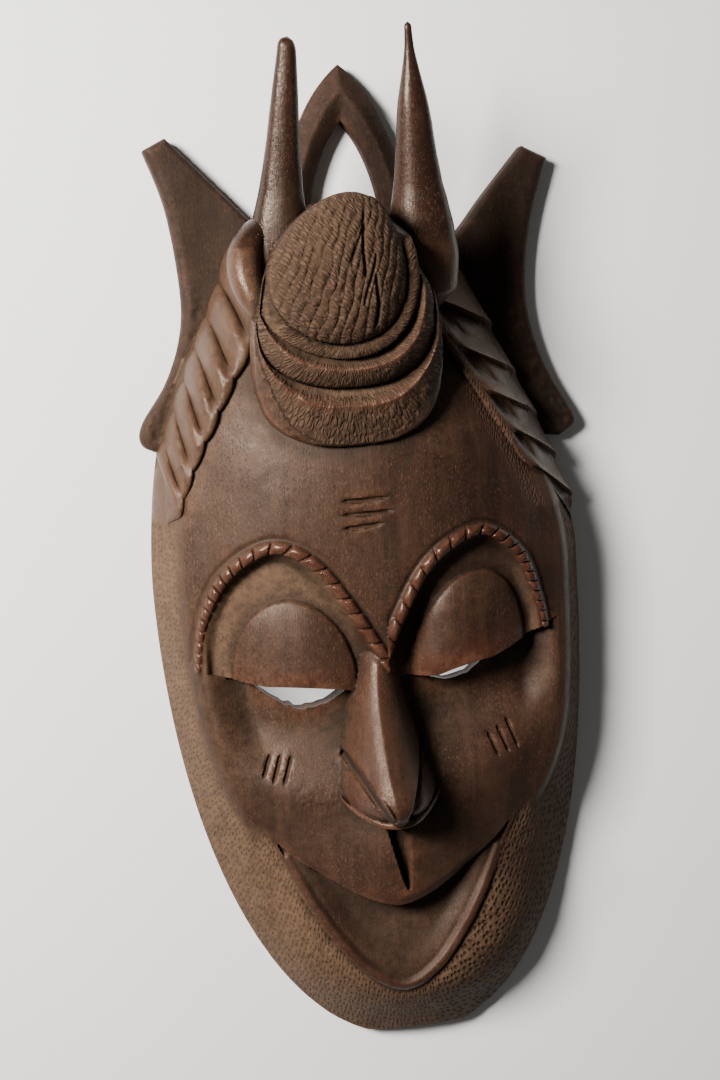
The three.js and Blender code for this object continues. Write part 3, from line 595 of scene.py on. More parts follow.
def crown_height(x, y):
    """Height of the knot in its ring on the two rolls."""
    height = np.full(np.shape(x), CROWN_RIM - 1.0)
    lengthwise, crosswise, row, share = knot_places(x, y)
    out = (share - 1) * np.hypot(lengthwise, crosswise) / np.maximum(share, 1e-3)
    for k in (1, 0):
        form = ROLLS[k]
        inside, place, width = roll_places(x, y, k)
        lumps = 0.45 * value_noise(x, y, 6, 31 + k) + 0.3 * value_noise(x, y, 2.4, 33 + k)
        drop = np.interp(place, *zip(*form["section"])) * lerp(0.3, 1, np.clip(width / 16, 0, 1)) + lumps
        drop = drop + 6 * (inside < 0)
        level = form["top"] + form["tilt"] * (y - form["y"]) / form["down"] - 30 * ease(y, 408, 440)
        aside = (x - form["x"]) / form["half"]
        level = level - np.where(aside < 0, 11, 6) * np.abs(aside) ** 3
        height = np.where(inside > -0.6, level - drop, height)
    strong = ease(crosswise, 0, 22)
    present = ease(0.75 * crosswise - 0.65 * lengthwise, -6, 10)
    ring = 92.5 + 3.4 * strong + 3.6 * round_bar(out - 3.2, 3.9) + 0.4 * value_noise(x, y, 3, 36)
    ring = ring - 30 * (1 - present)
    height = np.where((share >= 1) & (out < RING), np.maximum(height, ring), height)
    rows = np.abs(np.cos(np.pi * (row / KNOT_ROW + 0.30 * value_noise(x, y, 8, 37)))) ** 0.6
    relief = 0.8 * (rows - 1) + 0.4 * value_noise(x, y, 2.6, 38)
    for split in SPLITS:
        bend = split["row"] + 1.6 * np.sin(lengthwise / 7 + split["row"]) - 0.10 * lengthwise
        run = ease(lengthwise, split["from"], split["from"] + 5)
        run = run * (1 - ease(lengthwise, split["to"] - 5, split["to"]))
        relief = relief - split["deep"] * run * np.exp(-((row - bend) / 0.8) ** 2)
    knot = KNOT["base"] + 3 + (KNOT["height"] - 3) * np.maximum(1 - share ** 2, 0) ** 0.55 + relief
    return np.where(share < 1, knot, height)


def hollow_depth(x, y):
    share = oval_share(x, y)
    limit = lerp(HOLLOW_SHARE, CROWN_HOLLOW_SHARE, ease(y, WIDEST_AT - 20, WIDEST_AT + 60))
    depth = along(HOLLOW, np.clip(y, 20, 440)) * np.sqrt(np.maximum(1 - (share / limit) ** 3, 0))
    gouges = np.abs(np.sin(x / GOUGE["width"] + 1.5 * value_noise(x, y, 30, 11)))
    gouges = gouges * np.cos(y / GOUGE["length"] + 2 * value_noise(x, y, 40, 12))
    return np.where(depth > 0, depth - GOUGE["deep"] * gouges * ease(depth, 2, 10), 0)


def to_row(x, y, z):
    return np.column_stack([x - OUTLINE_MIDDLE[0], y - OUTLINE_MIDDLE[1], z]) / 1000


def deselect_all():
    if bpy.context.object and bpy.context.object.mode != "OBJECT":
        bpy.ops.object.mode_set(mode="OBJECT")
    bpy.ops.object.select_all(action="DESELECT")


def corners_of(piece):
    co = np.empty(len(piece.data.vertices) * 3)
    piece.data.vertices.foreach_get("co", co)
    return co.reshape(-1, 3)


def put_corners(piece, co):
    piece.data.vertices.foreach_set("co", np.ascontiguousarray(co, dtype=np.float32).ravel())
    piece.data.update()


def outward(piece):
    bpy.context.view_layer.objects.active = piece
    bpy.ops.object.mode_set(mode="EDIT")
    bpy.ops.mesh.select_all(action="SELECT")
    bpy.ops.mesh.normals_make_consistent(inside=False)
    if bmesh.from_edit_mesh(piece.data).calc_volume(signed=True) < 0:
        bpy.ops.mesh.flip_normals()
    bpy.ops.object.mode_set(mode="OBJECT")


def sheet_block(name, columns, rows, place):
    """Grid drawn out to a closed block; place(s, t) gives x, y, top and bottom."""
    deselect_all()
    bpy.ops.mesh.primitive_grid_add(x_subdivisions=columns, y_subdivisions=rows, size=2)
    piece = bpy.context.object
    piece.name = name
    bpy.ops.object.mode_set(mode="EDIT")
    bpy.ops.mesh.select_all(action="SELECT")
    bpy.ops.mesh.extrude_region_move(TRANSFORM_OT_translate={"value": (0, 0, 1)})
    bpy.ops.object.mode_set(mode="OBJECT")
    co = corners_of(piece)
    x, y, top, bottom = place((co[:, 0] + 1) / 2, (co[:, 1] + 1) / 2)
    put_corners(piece, to_row(x, y, np.where(co[:, 2] > 0.5, top, bottom)))
    outward(piece)
    return piece


def turned_form(name, segments, rings, place):
    """Ball whose places come from place(angle, t), t from the lower pole to the upper one."""
    deselect_all()
    bpy.ops.mesh.primitive_uv_sphere_add(segments=segments, ring_count=rings, radius=1)
    piece = bpy.context.object
    piece.name = name
    co = corners_of(piece)
    t = np.arccos(np.clip(-co[:, 2], -1, 1)) / np.pi
    put_corners(piece, to_row(*place(np.arctan2(co[:, 1], co[:, 0]), t)))
    outward(piece)
    return piece


def snap_rows(y, x, line, where):
    """Moves the two rows of the grid nearest to a line to just below and just above it."""
    off = y - line(x)
    crossing = (off[:-1] < 0) & (off[1:] >= 0) & where[1:]
    j, i = np.nonzero(crossing)
    y[j, i] -= off[j, i] + 0.04
    y[j + 1, i] -= off[j + 1, i] - 0.04


def make_face(columns, rows):
    s = np.linspace(-1, 1, columns + 1)
    spread = 0.55 * s + 0.45 * np.sin(np.pi / 2 * s)
    y = np.repeat(np.linspace(0, CROWN_END, rows + 1)[:, None], columns + 1, 1)
    x = centre_x(y) + half_width(y) * spread[None, :]
    in_face = (oval_share(x, y) < ridge_share(x, y)) & (np.abs(x) > 6)
    snap_rows(y, x, eye_line, in_face)
    snap_rows(y, x, upper_lip, (x > -57) & (x < 62))
    snap_rows(y, x, nose_foot, (x > -28) & (x < 26))
    top = front_height(x, y)

    def place(s, t):
        i = np.rint(s * columns).astype(int)
        j = np.rint(t * rows).astype(int)
        return x[j, i], y[j, i], top[j, i], np.full_like(s, -SPARE_BELOW)

    piece = sheet_block("face", columns, rows, place)
    lay_flat_bottom(piece)
    return piece


def lay_flat_bottom(piece):
    """One flat face in place of the many small ones underneath."""
    mesh = piece.data
    co = corners_of(piece)
    deselect_all()
    bpy.context.view_layer.objects.active = piece
    low = co[:, 2] < -0.9 * SPARE_BELOW / 1000
    corners = np.empty(len(mesh.loops), dtype=np.int64)
    mesh.loops.foreach_get("vertex_index", corners)
    starts = np.empty(len(mesh.polygons), dtype=np.int64)
    mesh.polygons.foreach_get("loop_start", starts)
    flat = np.logical_and.reduceat(low[corners], starts)
    bpy.ops.object.mode_set(mode="EDIT")
    bpy.ops.mesh.select_mode(type="FACE")
    bpy.ops.mesh.select_all(action="DESELECT")
    bpy.ops.object.mode_set(mode="OBJECT")
    mesh.polygons.foreach_set("select", flat)
    bpy.ops.object.mode_set(mode="EDIT")
    bpy.ops.mesh.dissolve_faces()
    bpy.ops.mesh.select_mode(type="VERT")
    bpy.ops.object.mode_set(mode="OBJECT")


def make_hollow():
    """Shape of the wood taken out of the back, with gouge marks."""
    def place(s, t):
        y = lerp(12, 452, t)
        limit = lerp(HOLLOW_SHARE, CROWN_HOLLOW_SHARE, ease(y, WIDEST_AT - 20, WIDEST_AT + 60))
        side = 2 * s - 1
        side = 0.55 * side + 0.45 * np.sin(np.pi / 2 * side)
        x = centre_x(y) + np.maximum(half_width(y, limit), 0.01) * side
        return x, y, np.maximum(hollow_depth(x, y), -1), np.full_like(x, -2 * SPARE_BELOW)

    return sheet_block("hollow", 110, 190, place)


def make_crown():
    """Knot, ring and rolls in one form that sits in the block."""
    turns = np.linspace(-np.pi, np.pi, 721)
    far = np.linspace(0, 80, 641)
    x = CROWN_MIDDLE[0] + np.cos(turns)[:, None] * far
    y = CROWN_MIDDLE[1] + np.sin(turns)[:, None] * far
    covered = crown_height(x, y) > CROWN_RIM - 0.5
    reach = np.array([far[np.nonzero(line)[0][-1]] for line in covered])

    def place(angle, t):
        # Up to the rim the flank curves out of the block, and above it lies the carved front
        foot_at, rim_at = 0.08, 0.2
        flank = np.clip((t - foot_at) / (rim_at - foot_at), 0, 1)
        taper = lerp(0.04, 0.15, ease(np.sin(angle), -0.1, 0.7))
        drawn_in = np.where(t > foot_at, 1 - taper * (1 - flank) ** 1.6, (1 - taper) * t / foot_at)
        share = np.where(t > rim_at, 1 - (t - rim_at) / (1 - rim_at), drawn_in)
        radius = np.interp(angle, turns, reach) * share
        x = CROWN_MIDDLE[0] + np.cos(angle) * radius
        y = CROWN_MIDDLE[1] + np.sin(angle) * radius
        foot = np.minimum(block_height(x, y) - 6, 60)
        top = np.maximum(crown_height(x, y), CROWN_RIM)
        return x, y, np.where(t > rim_at, top, lerp(foot, CROWN_RIM, flank))

    return turned_form("crown", 540, 210, place)


def make_lobe():
    """Thick cord that curls from the left horn's root to the knot."""
    run = np.linspace(0, 1, len(LOBE_PATH))

    def spots(t):
        return np.stack([along(list(zip(run, values)), t) for values in zip(*LOBE_PATH)], -1)

    def place(angle, t):
        spot = spots(t)
        course = spots(np.minimum(t + 0.02, 1)) - spots(np.maximum(t - 0.02, 0))
        course /= np.linalg.norm(course, axis=1, keepdims=True)
        side = np.cross(course, (0, 0, 1))
        side /= np.linalg.norm(side, axis=1, keepdims=True)
        up = np.cross(side, course)
        closing = np.sqrt(np.clip(np.minimum(t, 1 - t) / 0.06, 0, 1))
        radius = along(list(zip(run, LOBE_RADII)), t) * closing
        p = spot + radius[:, None] * (np.cos(angle)[:, None] * side + 1.2 * np.sin(angle)[:, None] * up)
        return p[:, 0], p[:, 1], p[:, 2]

    return turned_form("lobe", 40, 60, place)


def make_braid(index):
    data = BRAIDS[index]
    line = Line(data["path"])
    strands = data["strands"]

    def place(s, t):
        phase = strands * (1 - t)
        part = phase % 1
        rounded = np.abs(np.sin(np.pi * phase)) ** 0.75
        stepped = np.clip(part / 0.84, 0, 1) ** 1.7 * (1 - ease(part, 0.84, 1.0))
        side = -np.cos(np.pi * s)
        if index == 0:
            swell = rounded
        else:
            strip = ease(side, -0.72, -0.42)
            swell = lerp(0.6, 0.05 + 0.95 * stepped, strip)
            rounded = lerp(1, 0.2 + 0.8 * stepped, 1 - ease(side, 0.2, -0.2))
        share = (1 - t) ** (1 / 1.2)
        end = 1 - 0.5 * ease(share, 0.94, 1)
        half = lerp(data["half"], data["end_half"], share) * (1 - 0.13 * (1 - rounded)) * end
        furrow = data["furrow"] * (1 - ease(side * data["inner"], 0.35, 1.0))
        rise = lerp(22, 12, share) * (1 - furrow * (1 - swell)) * end
        where = share + data["slant"] * side / line.length
        spot, course = line.at(where)
        x = spot[:, 0] - course[:, 1] * half * side
        y = spot[:, 1] + course[:, 0] * half * side
        low = block_height(spot[:, 0] + course[:, 1] * half, spot[:, 1] - course[:, 0] * half)
        high = block_height(spot[:, 0] - course[:, 1] * half, spot[:, 1] + course[:, 0] * half)
        flank = lerp(low, high, (side + 1) / 2)
        section = np.sqrt(np.maximum(1 - side * side, 0)) * (1 - 0.35 * data["inner"] * side)
        small = 0.8 * value_noise(x, y, 8, 41) + 0.35 * value_noise(x, y, 3, 42)
        top = flank + rise * section + small
        return x, y, top, np.maximum(flank - 14, 4)

    return sheet_block("braid_%s" % ("left", "right")[index], 44, int(strands * 26), place)


def make_horn(index):
    horn = HORNS[index]
    root, tip = np.array(horn["root"], float), np.array(horn["tip"], float)
    axis = (tip - root) / np.linalg.norm(tip - root)
    length = np.linalg.norm(tip - root)
    side = np.cross(axis, (0, 0, 1))
    side /= np.linalg.norm(side)
    up = np.cross(side, axis)

    def place(angle, t):
        far = lerp(horn["start"], length, t)
        radius = along(HORN_PROFILE, far) * horn["swell"]
        taper = lerp(1, horn["tip_radius"] / HORN_PROFILE[-1][1], ease(far / length, 0.6, 1))
        radius = radius * taper
        close = np.clip((length - far) / (horn["tip_radius"] * 1.3 + 0.5), 0, 1)
        radius = radius * np.sqrt(close * (2 - close))
        radius = radius * np.sqrt(np.clip((far - horn["start"]) / 12, 0, 1))
        facet = horn["facet"] * np.exp(-((angle - horn["facet_at"]) / horn["facet_spread"]) ** 2)
        knife = 0.012 * value_noise(angle * 6, far, 7, 51 + index)
        radius = radius * (1 - facet + knife)
        far = far - horn["tip_slant"] * np.cos(angle) * close * ease(far / length, 0.9, 1)
        out = radius[:, None] * (np.cos(angle)[:, None] * side + 0.87 * np.sin(angle)[:, None] * up)
        p = root + axis * far[:, None] + out
        return p[:, 0], p[:, 1], p[:, 2]

    return turned_form("horn_%s" % ("left", "right")[index], 56, 110, place)


def rounded_edge(distance, radius):
    inside = np.clip(distance / radius, 0, 1)
    return 1 - np.sqrt(inside * (2 - inside))


def make_wing(index):
    edge, inner = Line(WINGS[index]["edge"]), Line(WINGS[index]["inner"])

    def place(s, t):
        # The right wing's outline runs the other way, so its columns do too
        across = s if index == 1 else 1 - s
        outer_spot, _ = edge.at(t)
        inner_spot, _ = inner.at(t)
        spot = lerp(inner_spot, outer_spot, across[:, None])
        width = np.linalg.norm(outer_spot - inner_spot, axis=1)
        x, y = spot[:, 0], spot[:, 1]
        fall = 5.5 * rounded_edge((1 - across) * width, 6)
        fall = np.maximum(fall, 3.5 * rounded_edge((1 - t) * 165, 4))
        fall = np.maximum(fall, 4.5 * rounded_edge(t * 165, 6))
        fall = np.maximum(fall, 3 * rounded_edge(across * width, 4) * (t > 0.55))
        pecks = np.exp(-(((1 - across) * width - 9) / 5) ** 2) * (1 - ease(t, 0.45, 0.6))
        relief = 0.7 * pecks * value_noise(x, y, 2.6, 61 + index) + 0.35 * value_noise(x, y, 12, 63 + index)
        top = WING_TOP - fall + relief
        return x, y, top, np.full_like(top, -SPARE_BELOW)

    return sheet_block("wing_%s" % ("left", "right")[index], 46, 170, place)


def make_loop():
    def bend(half, foot, tip, t):
        a, b, c = (np.array(p, float) for p in ((-half[0], foot), (-half[1], tip - 22), (0, tip)))
        u = np.clip(2 * np.minimum(t, 1 - t), 0, 1)[:, None]
        p = (1 - u) ** 2 * a + 2 * u * (1 - u) * b + u * u * c
        return np.column_stack([np.where(t < 0.5, p[:, 0], -p[:, 0]), p[:, 1]])

    def place(s, t):
        outer = bend((LOOP["half"], LOOP["half"] * 0.75), LOOP["foot"], LOOP["tip"], t)
        inner = bend((LOOP["inside"], LOOP["inside"] * 0.9), LOOP["foot"], LOOP["tip_inside"], t)
        spot = lerp(outer, inner, s[:, None])
        roof = np.abs(2 * s - 1)
        top = LOOP["thick"] - 5.5 * roof ** 1.3 + 0.25 * value_noise(spot[:, 0], spot[:, 1], 7, 71)
        return spot[:, 0], spot[:, 1], np.minimum(top, LOOP["thick"]), np.full_like(top, -SPARE_BELOW)

    return sheet_block("hanging_loop", 20, 200, place)


def make_slit(index):
    slit = SLITS[index]

    def place(s, t):
        x = lerp(slit["from"][0], slit["to"][0], s)
        chord = lerp(slit["from"][1], slit["to"][1], s)
        bow = 4 * s * (1 - s)
        chips = slit["ragged"] * value_noise(x, np.zeros_like(x), 3.1, 81 + index) * bow
        y = lerp(chord - slit["sag"] * bow - 0.5 + chips, chord + 1.5 * bow, t)
        return x, y, np.full_like(x, 130), np.full_like(x, -2 * SPARE_BELOW)

    return sheet_block("slit", 90, 2, place)


def make_ground():
    """Block under the mask whose top is the flat back plane."""
    def place(s, t):
        x, y = lerp(-150, 155, s), lerp(-20, 560, t)
        return x, y, np.zeros_like(x), np.full_like(x, -4 * SPARE_BELOW)

    return sheet_block("ground", 60, 116, place)


def combine(base, tool, operation):
    deselect_all()
    base.select_set(True)
    bpy.context.view_layer.objects.active = base
    step = base.modifiers.new("carve", "BOOLEAN")
    step.operation = operation
    step.solver = "MANIFOLD"
    step.object = tool
    bpy.ops.object.modifier_apply(modifier=step.name)
    bpy.data.objects.remove(tool, do_unlink=True)


def close_up(piece):
    """Clears the slivers and flaps that thinning leaves, so that every edge has two faces."""
    form = bmesh.new()
    form.from_mesh(piece.data)
    bmesh.ops.remove_doubles(form, verts=form.verts, dist=0.00002)
    bmesh.ops.dissolve_degenerate(form, dist=0.00001, edges=form.edges)
    for _ in range(8):
        flaps = [face for face in form.faces if any(len(edge.link_faces) == 1 for edge in face.edges)
                 and any(len(edge.link_faces) > 2 for edge in face.edges)]
        if not flaps:
            break
        bmesh.ops.delete(form, geom=flaps, context="FACES")
    loose = [edge for edge in form.edges if not edge.link_faces]
    bmesh.ops.delete(form, geom=loose, context="EDGES")
    rim = [edge for edge in form.edges if len(edge.link_faces) == 1]
    bmesh.ops.holes_fill(form, edges=rim, sides=0)
    form.to_mesh(piece.data)
    form.free()


def by_name(name):
    piece = bpy.data.objects.get(name)
    if piece is None:
        raise RuntimeError("The piece %s has not been made yet" % name)
    return piece


def neighbours_mean(values, edges, times):
    """Averages values over the mesh's edges, many times."""
    count = len(values)
    weight = np.maximum(np.bincount(edges.ravel(), minlength=count).astype(float), 1)
    values = values.copy()
    for _ in range(times):
        total = np.zeros_like(values)
        for k in range(values.shape[1]):
            total[:, k] = (np.bincount(edges[:, 0], values[edges[:, 1], k], count)
                           + np.bincount(edges[:, 1], values[edges[:, 0], k], count))
        values = 0.5 * values + 0.5 * total / weight[:, None]
    return values


def softened(values, edges, times):
    return neighbours_mean(values[:, None], edges, times)[:, 0]


def surface_relief(co, normal, edges):
    """How far places stand out of what lies round them, and the wear of sharp edges."""
    fine = neighbours_mean(co, edges, 6)
    broad = neighbours_mean(fine, edges, 40)
    small = np.einsum("ij,ij->i", co - fine, normal)
    large = np.einsum("ij,ij->i", co - broad, normal)
    relief = np.clip(small * 2.2 + large * 0.45, -1, 1)
    return softened(relief, edges, 2), softened(np.clip(small * 2.6, 0, 1), edges, 2)


def under_the_brows(x, y, brow_gap):
    """The sockets round the lids, from 0 to 1."""
    found = 0
    for side, line, lid in zip((x < 0, x >= 0), brow_lines, LIDS):
        off_lid = np.hypot((x - lid["x"]) / (lid["half"] + 1), (y - eye_line(x)) / (lid["height"] + 1))
        below = side & (y < line.height_over(x)) & (y > eye_line(x)) & (off_lid > 1) & (brow_gap > 3.2)
        found = found + (below & (np.abs(x + 2) > 14)).astype(float)
    return found


def painted_crease_shade(x, y):
    """Painted shade in the groove over the lip, the nose cuts and the scars, from 0 to 1."""
    down, off = groove_places(x, y)
    off = off / (GROOVE["half"] * np.sqrt(np.maximum(1 - down, 0.01)))
    crease_shade = (y < nose_foot(x)) * (y > GROOVE["end"]) * ease(off, -0.9, -0.65) * (1 - ease(off, 0.1, 0.5))
    cuts = [(cut["from"], cut["to"], 1.5, 0.9) for cut in NOSE_CUTS]
    cuts += [(start, end, 0.9, 0.5) for start, end in SCARS]
    for start, end, half, most in cuts:
        gap, _ = Line([start, end]).near(x, y)
        crease_shade = np.maximum(crease_shade, most * np.exp(-(gap / half) ** 2))
    return crease_shade


def write_layers(mesh, layers):
    for name, values in layers.items():
        layer = mesh.attributes.new(name, "FLOAT", "POINT")
        layer.data.foreach_set("value", np.ascontiguousarray(values, dtype=np.float32))


def mark_surface(piece):
    """Writes the finish of every place on the mask into attributes for the material."""
    mesh = piece.data
    count = len(mesh.vertices)
    co = corners_of(piece) * 1000
    x, y, z = co[:, 0] + OUTLINE_MIDDLE[0], co[:, 1] + OUTLINE_MIDDLE[1], co[:, 2]
    normal = np.empty(count * 3)
    mesh.vertices.foreach_get("normal", normal)
    normal = normal.reshape(-1, 3)
    edges = np.empty(len(mesh.edges) * 2, dtype=np.int64)
    mesh.edges.foreach_get("vertices", edges)
    edges = edges.reshape(-1, 2)

    relief, worn = surface_relief(co, normal, edges)
    front = ease(normal[:, 2], -0.35, 0.1)
    share = oval_share(x, y)
    left = 1 - ease(x, -40, 70)
    lengthwise, _, row, knot_share = knot_places(x, y)
    inside = [edge_distance(x, y, form) for form in ROLLS]
    high = z > 84
    knot = (knot_share < 1.02) & (z > 93)
    ring = (knot_share >= 1.02) & (knot_share < 1.25) & (z > 94.5)
    roll = [(inside[0] > -0.8) & high, (inside[1] > -0.8) & (z > 82)]
    over = (z > block_height(x, y) + 0.3) & (y < 462)
    crown = ((knot | ring | roll[0] | roll[1]) & over).astype(float)
    crown = softened(crown, edges, 2)
    horn = ((y > 436) & (z > 34) & ~knot & ~ring).astype(float)
    plate = ((z < 17) & (y > 328) & ((share > 1.0) | (y > 440))).astype(float)
    back = 1 - front
    on_face = front * (1 - crown) * (1 - horn) * (1 - plate)
    braid_gaps = [Line(data["path"]).near(x, y)[0] for data in BRAIDS]
    braid_zone = np.maximum(1 - ease(braid_gaps[0], 13, 18), 1 - ease(braid_gaps[1], 17, 22))
    braid_zone *= (1 - crown) * (1 - plate) * front * (y > 296) * (y < 440)
    band = punched_band(x, y) * on_face * (1 - 0.9 * braid_zone)

    # Marks: rows of dashes along the outline, rows up the knot and nicks down the rolls
    middle = centre_x(y)
    run = np.arctan2(x - middle, (WIDEST_AT - y) * 0.6) * 150
    inward = (1 - share) * HALF_WIDTH * 1.35
    columns = ease(x - middle, -20, 30)
    tool_x = lerp(inward / 2.4, inward / 2.5, columns)
    tool_y = lerp(run / 2.4, run / 3.4 + inward * 0.22, columns)
    tool_x = np.where(crown > 0.3, row / KNOT_ROW, tool_x)
    tool_y = np.where(crown > 0.3, lengthwise / 1.9 + row * 0.22, tool_y)
    on_ring = ring | (roll[0] & ~knot) | (roll[1] & ~knot)
    turn = np.arctan2(y - 396, x + 14)
    depth = np.where(inside[0] > -0.8, inside[0], inside[1])
    tool_x = np.where(on_ring, turn * 40 / 1.7, tool_x)
    tool_y = np.where(on_ring, depth / 5.5 + turn * 3, tool_y)
    crest = np.zeros(count)
    groove = np.zeros(count, bool)
    for index, at in enumerate(CRESTS):
        deep, part, _ = roll_places(x, y, index)
        on = roll[index] & ~knot & ~ring & (deep > -0.8) & ((inside[0] < 0) | (index == 0))
        crest = np.maximum(crest, on * np.exp(-((part - at) / 0.09) ** 2))
        groove |= on & (part > at + 0.18)
    strip = braid_zone * (x > 0) * ease(braid_gaps[1], 9, 13)
    on_crown = crown * (1 - 0.75 * crest) * np.where(groove, 0.25, 1.0)
    marks = np.clip(band * lerp(0.38, 0.9, columns) + on_crown + 0.6 * strip, 0, 1)

    # Dust lies on the matt parts and in the recesses, and the pale layer is laid on more thickly towards the
    # left
    brow_gap, _, _ = brow_nearest(x, y)
    under_brow = under_the_brows(x, y, brow_gap)
    dust = band * lerp(0.45, 0.85, left) + crown * 0.55 + 0.25 * groove + under_brow * lerp(0.35, 0.7, left)
    dust = dust + 0.4 * np.clip(-relief, 0, 1) * left + 0.3 * braid_zone
    dust = softened(dust, edges, 3) + 0.12 * left * on_face
    dust = np.clip(dust * (1 - 0.6 * crest), 0, 1)

    # Red wood shows on worn edges: brows, lips, nose, crests and horns
    gap_low, _ = lower_lip_line.near(x, y)
    lip_edge = np.exp(-((y - upper_lip(x) - 3) / 5) ** 2) * (np.abs(x - 2) < 56)
    red = 0.75 * np.exp(-(brow_gap / 3.4) ** 2) * on_face * (y > 214)
    red = red + 0.8 * lip_edge * on_face * np.exp(-((x - 2) / 30) ** 2)
    red = red + 0.35 * np.exp(-(gap_low / 4) ** 2) * on_face * (y < upper_lip(x) + 2)
    above = y - eye_line(x)
    for lid, share_of_red in zip(LIDS, (0.35, 0.8)):
        lid_edge = (np.abs(x - lid["x"]) < lid["half"]) * np.exp(-((above - 6) / 7) ** 2) * (above > 0)
        red = red + share_of_red * lid_edge * on_face
    on_nose = (np.abs(x) < 28) & (y > 134) & (y < 240) & (z > block_height(x, y) + 2)
    red = red + 0.4 * on_nose + 0.8 * crest + 0.35 * horn + 0.35 * braid_zone + 0.3 * worn
    red = np.clip(softened(red, edges, 2), 0, 1)

    gloss = 0.48 * on_face * (1 - band) + 0.9 * horn + 1.1 * crest + 0.24 * braid_zone
    gloss = gloss + 0.3 * np.exp(-(brow_gap / 3.4) ** 2) * on_face
    gloss = np.clip(gloss + 0.3 * worn + 0.05 * on_nose - 0.55 * dust - 0.4 * crown - 0.4 * strip, 0, 1)
    # Painted shade: recesses darken by how far they sink below what lies round them, and the wings and the
    # mouth's tray darken partly as painted shade and partly as their own darker wood; the horns are made
    # darker in tone
    shade = np.clip(-relief * 1.1, 0, 1) * (1 - 0.15 * braid_zone)
    tray = (y < upper_lip(x)) & (y > lower_lip(x)) & (np.abs(x) < 62)
    shade = np.clip(shade + 0.85 * plate + 0.9 * horn + 0.25 * tray * on_face, 0, 1)
    # Painted shade in the groove over the lip, the nose cuts and the scars, laid on top
    crease_shade = painted_crease_shade(x, y)
    shade = np.maximum(shade, 1.5 * crease_shade * on_face)
    gloss = gloss * (1 - 0.8 * crease_shade)

    write_layers(mesh, {"marks": marks, "dust": dust, "red_wood": red, "gloss": gloss,
                        "painted_shade_and_dark_tone": shade, "worn": worn, "back_side": back, "scales": crown})
    layer = mesh.attributes.new("tool_path", "FLOAT_VECTOR", "POINT")
    vectors = np.column_stack([tool_x, tool_y, np.zeros(count)]).astype(np.float32)
    layer.data.foreach_set("vector", vectors.ravel())


class Graph:
    """Short names for the nodes of one material."""

    def __init__(self, material):
        material.use_nodes = True
        self.tree = material.node_tree
        self.tree.nodes.clear()

    def node(self, kind, **settings):
        node = self.tree.nodes.new(kind)
        for name, value in settings.items():
            setattr(node, name, value)
        return node

    def link(self, source, target):
        if isinstance(source, bpy.types.NodeSocket):
            self.tree.links.new(source, target)
        else:
            target.default_value = source

    def attribute(self, name, vector=False):
        node = self.node("ShaderNodeAttribute", attribute_name=name)
        return node.outputs["Vector" if vector else "Fac"]

    def stretched(self, source, scale, turn=(0, 0, 0)):
        node = self.node("ShaderNodeMapping")
        self.link(source, node.inputs["Vector"])
        node.inputs["Scale"].default_value = scale
        node.inputs["Rotation"].default_value = turn
        return node.outputs["Vector"]

    def noise(self, source, scale, detail=3.0, roughness=0.55, distortion=0.0):
        node = self.node("ShaderNodeTexNoise")
        self.link(source, node.inputs["Vector"])
        node.inputs["Scale"].default_value = scale
        node.inputs["Detail"].default_value = detail
        node.inputs["Roughness"].default_value = roughness
        node.inputs["Distortion"].default_value = distortion
        return node.outputs["Fac"]

    def cells(self, source, randomness=1.0, feature="F1", dimensions="3D"):
        node = self.node("ShaderNodeTexVoronoi", feature=feature, voronoi_dimensions=dimensions)
        self.link(source, node.inputs["Vector"])
        node.inputs["Scale"].default_value = 1.0
        node.inputs["Randomness"].default_value = randomness
        return node.outputs["Distance"]

    def range(self, value, low, high, out_low=0.0, out_high=1.0):
        node = self.node("ShaderNodeMapRange", interpolation_type="SMOOTHSTEP")
        self.link(value, node.inputs["Value"])
        node.inputs["From Min"].default_value = low
        node.inputs["From Max"].default_value = high
        node.inputs["To Min"].default_value = out_low
        node.inputs["To Max"].default_value = out_high
        return node.outputs["Result"]

    def sum(self, operation, a, b):
        node = self.node("ShaderNodeMath", operation=operation)
        self.link(a, node.inputs[0])
        self.link(b, node.inputs[1])
        return node.outputs[0]

    def blend(self, share, a, b):
        """Colour a with a share of colour b over it."""
        node = self.node("ShaderNodeMix", data_type="RGBA")
        self.link(share, node.inputs[0])
        for colour, socket in ((a, node.inputs[6]), (b, node.inputs[7])):
            solid = not isinstance(colour, bpy.types.NodeSocket)
            self.link(tuple(colour) + (1,) if solid else colour, socket)
        return node.outputs[2]

    def layer(self, colour, share, strength, over):
        """Lays a finish over the colour: over shows by share times strength."""
        return self.blend(self.sum("MULTIPLY", share, strength), colour, over)


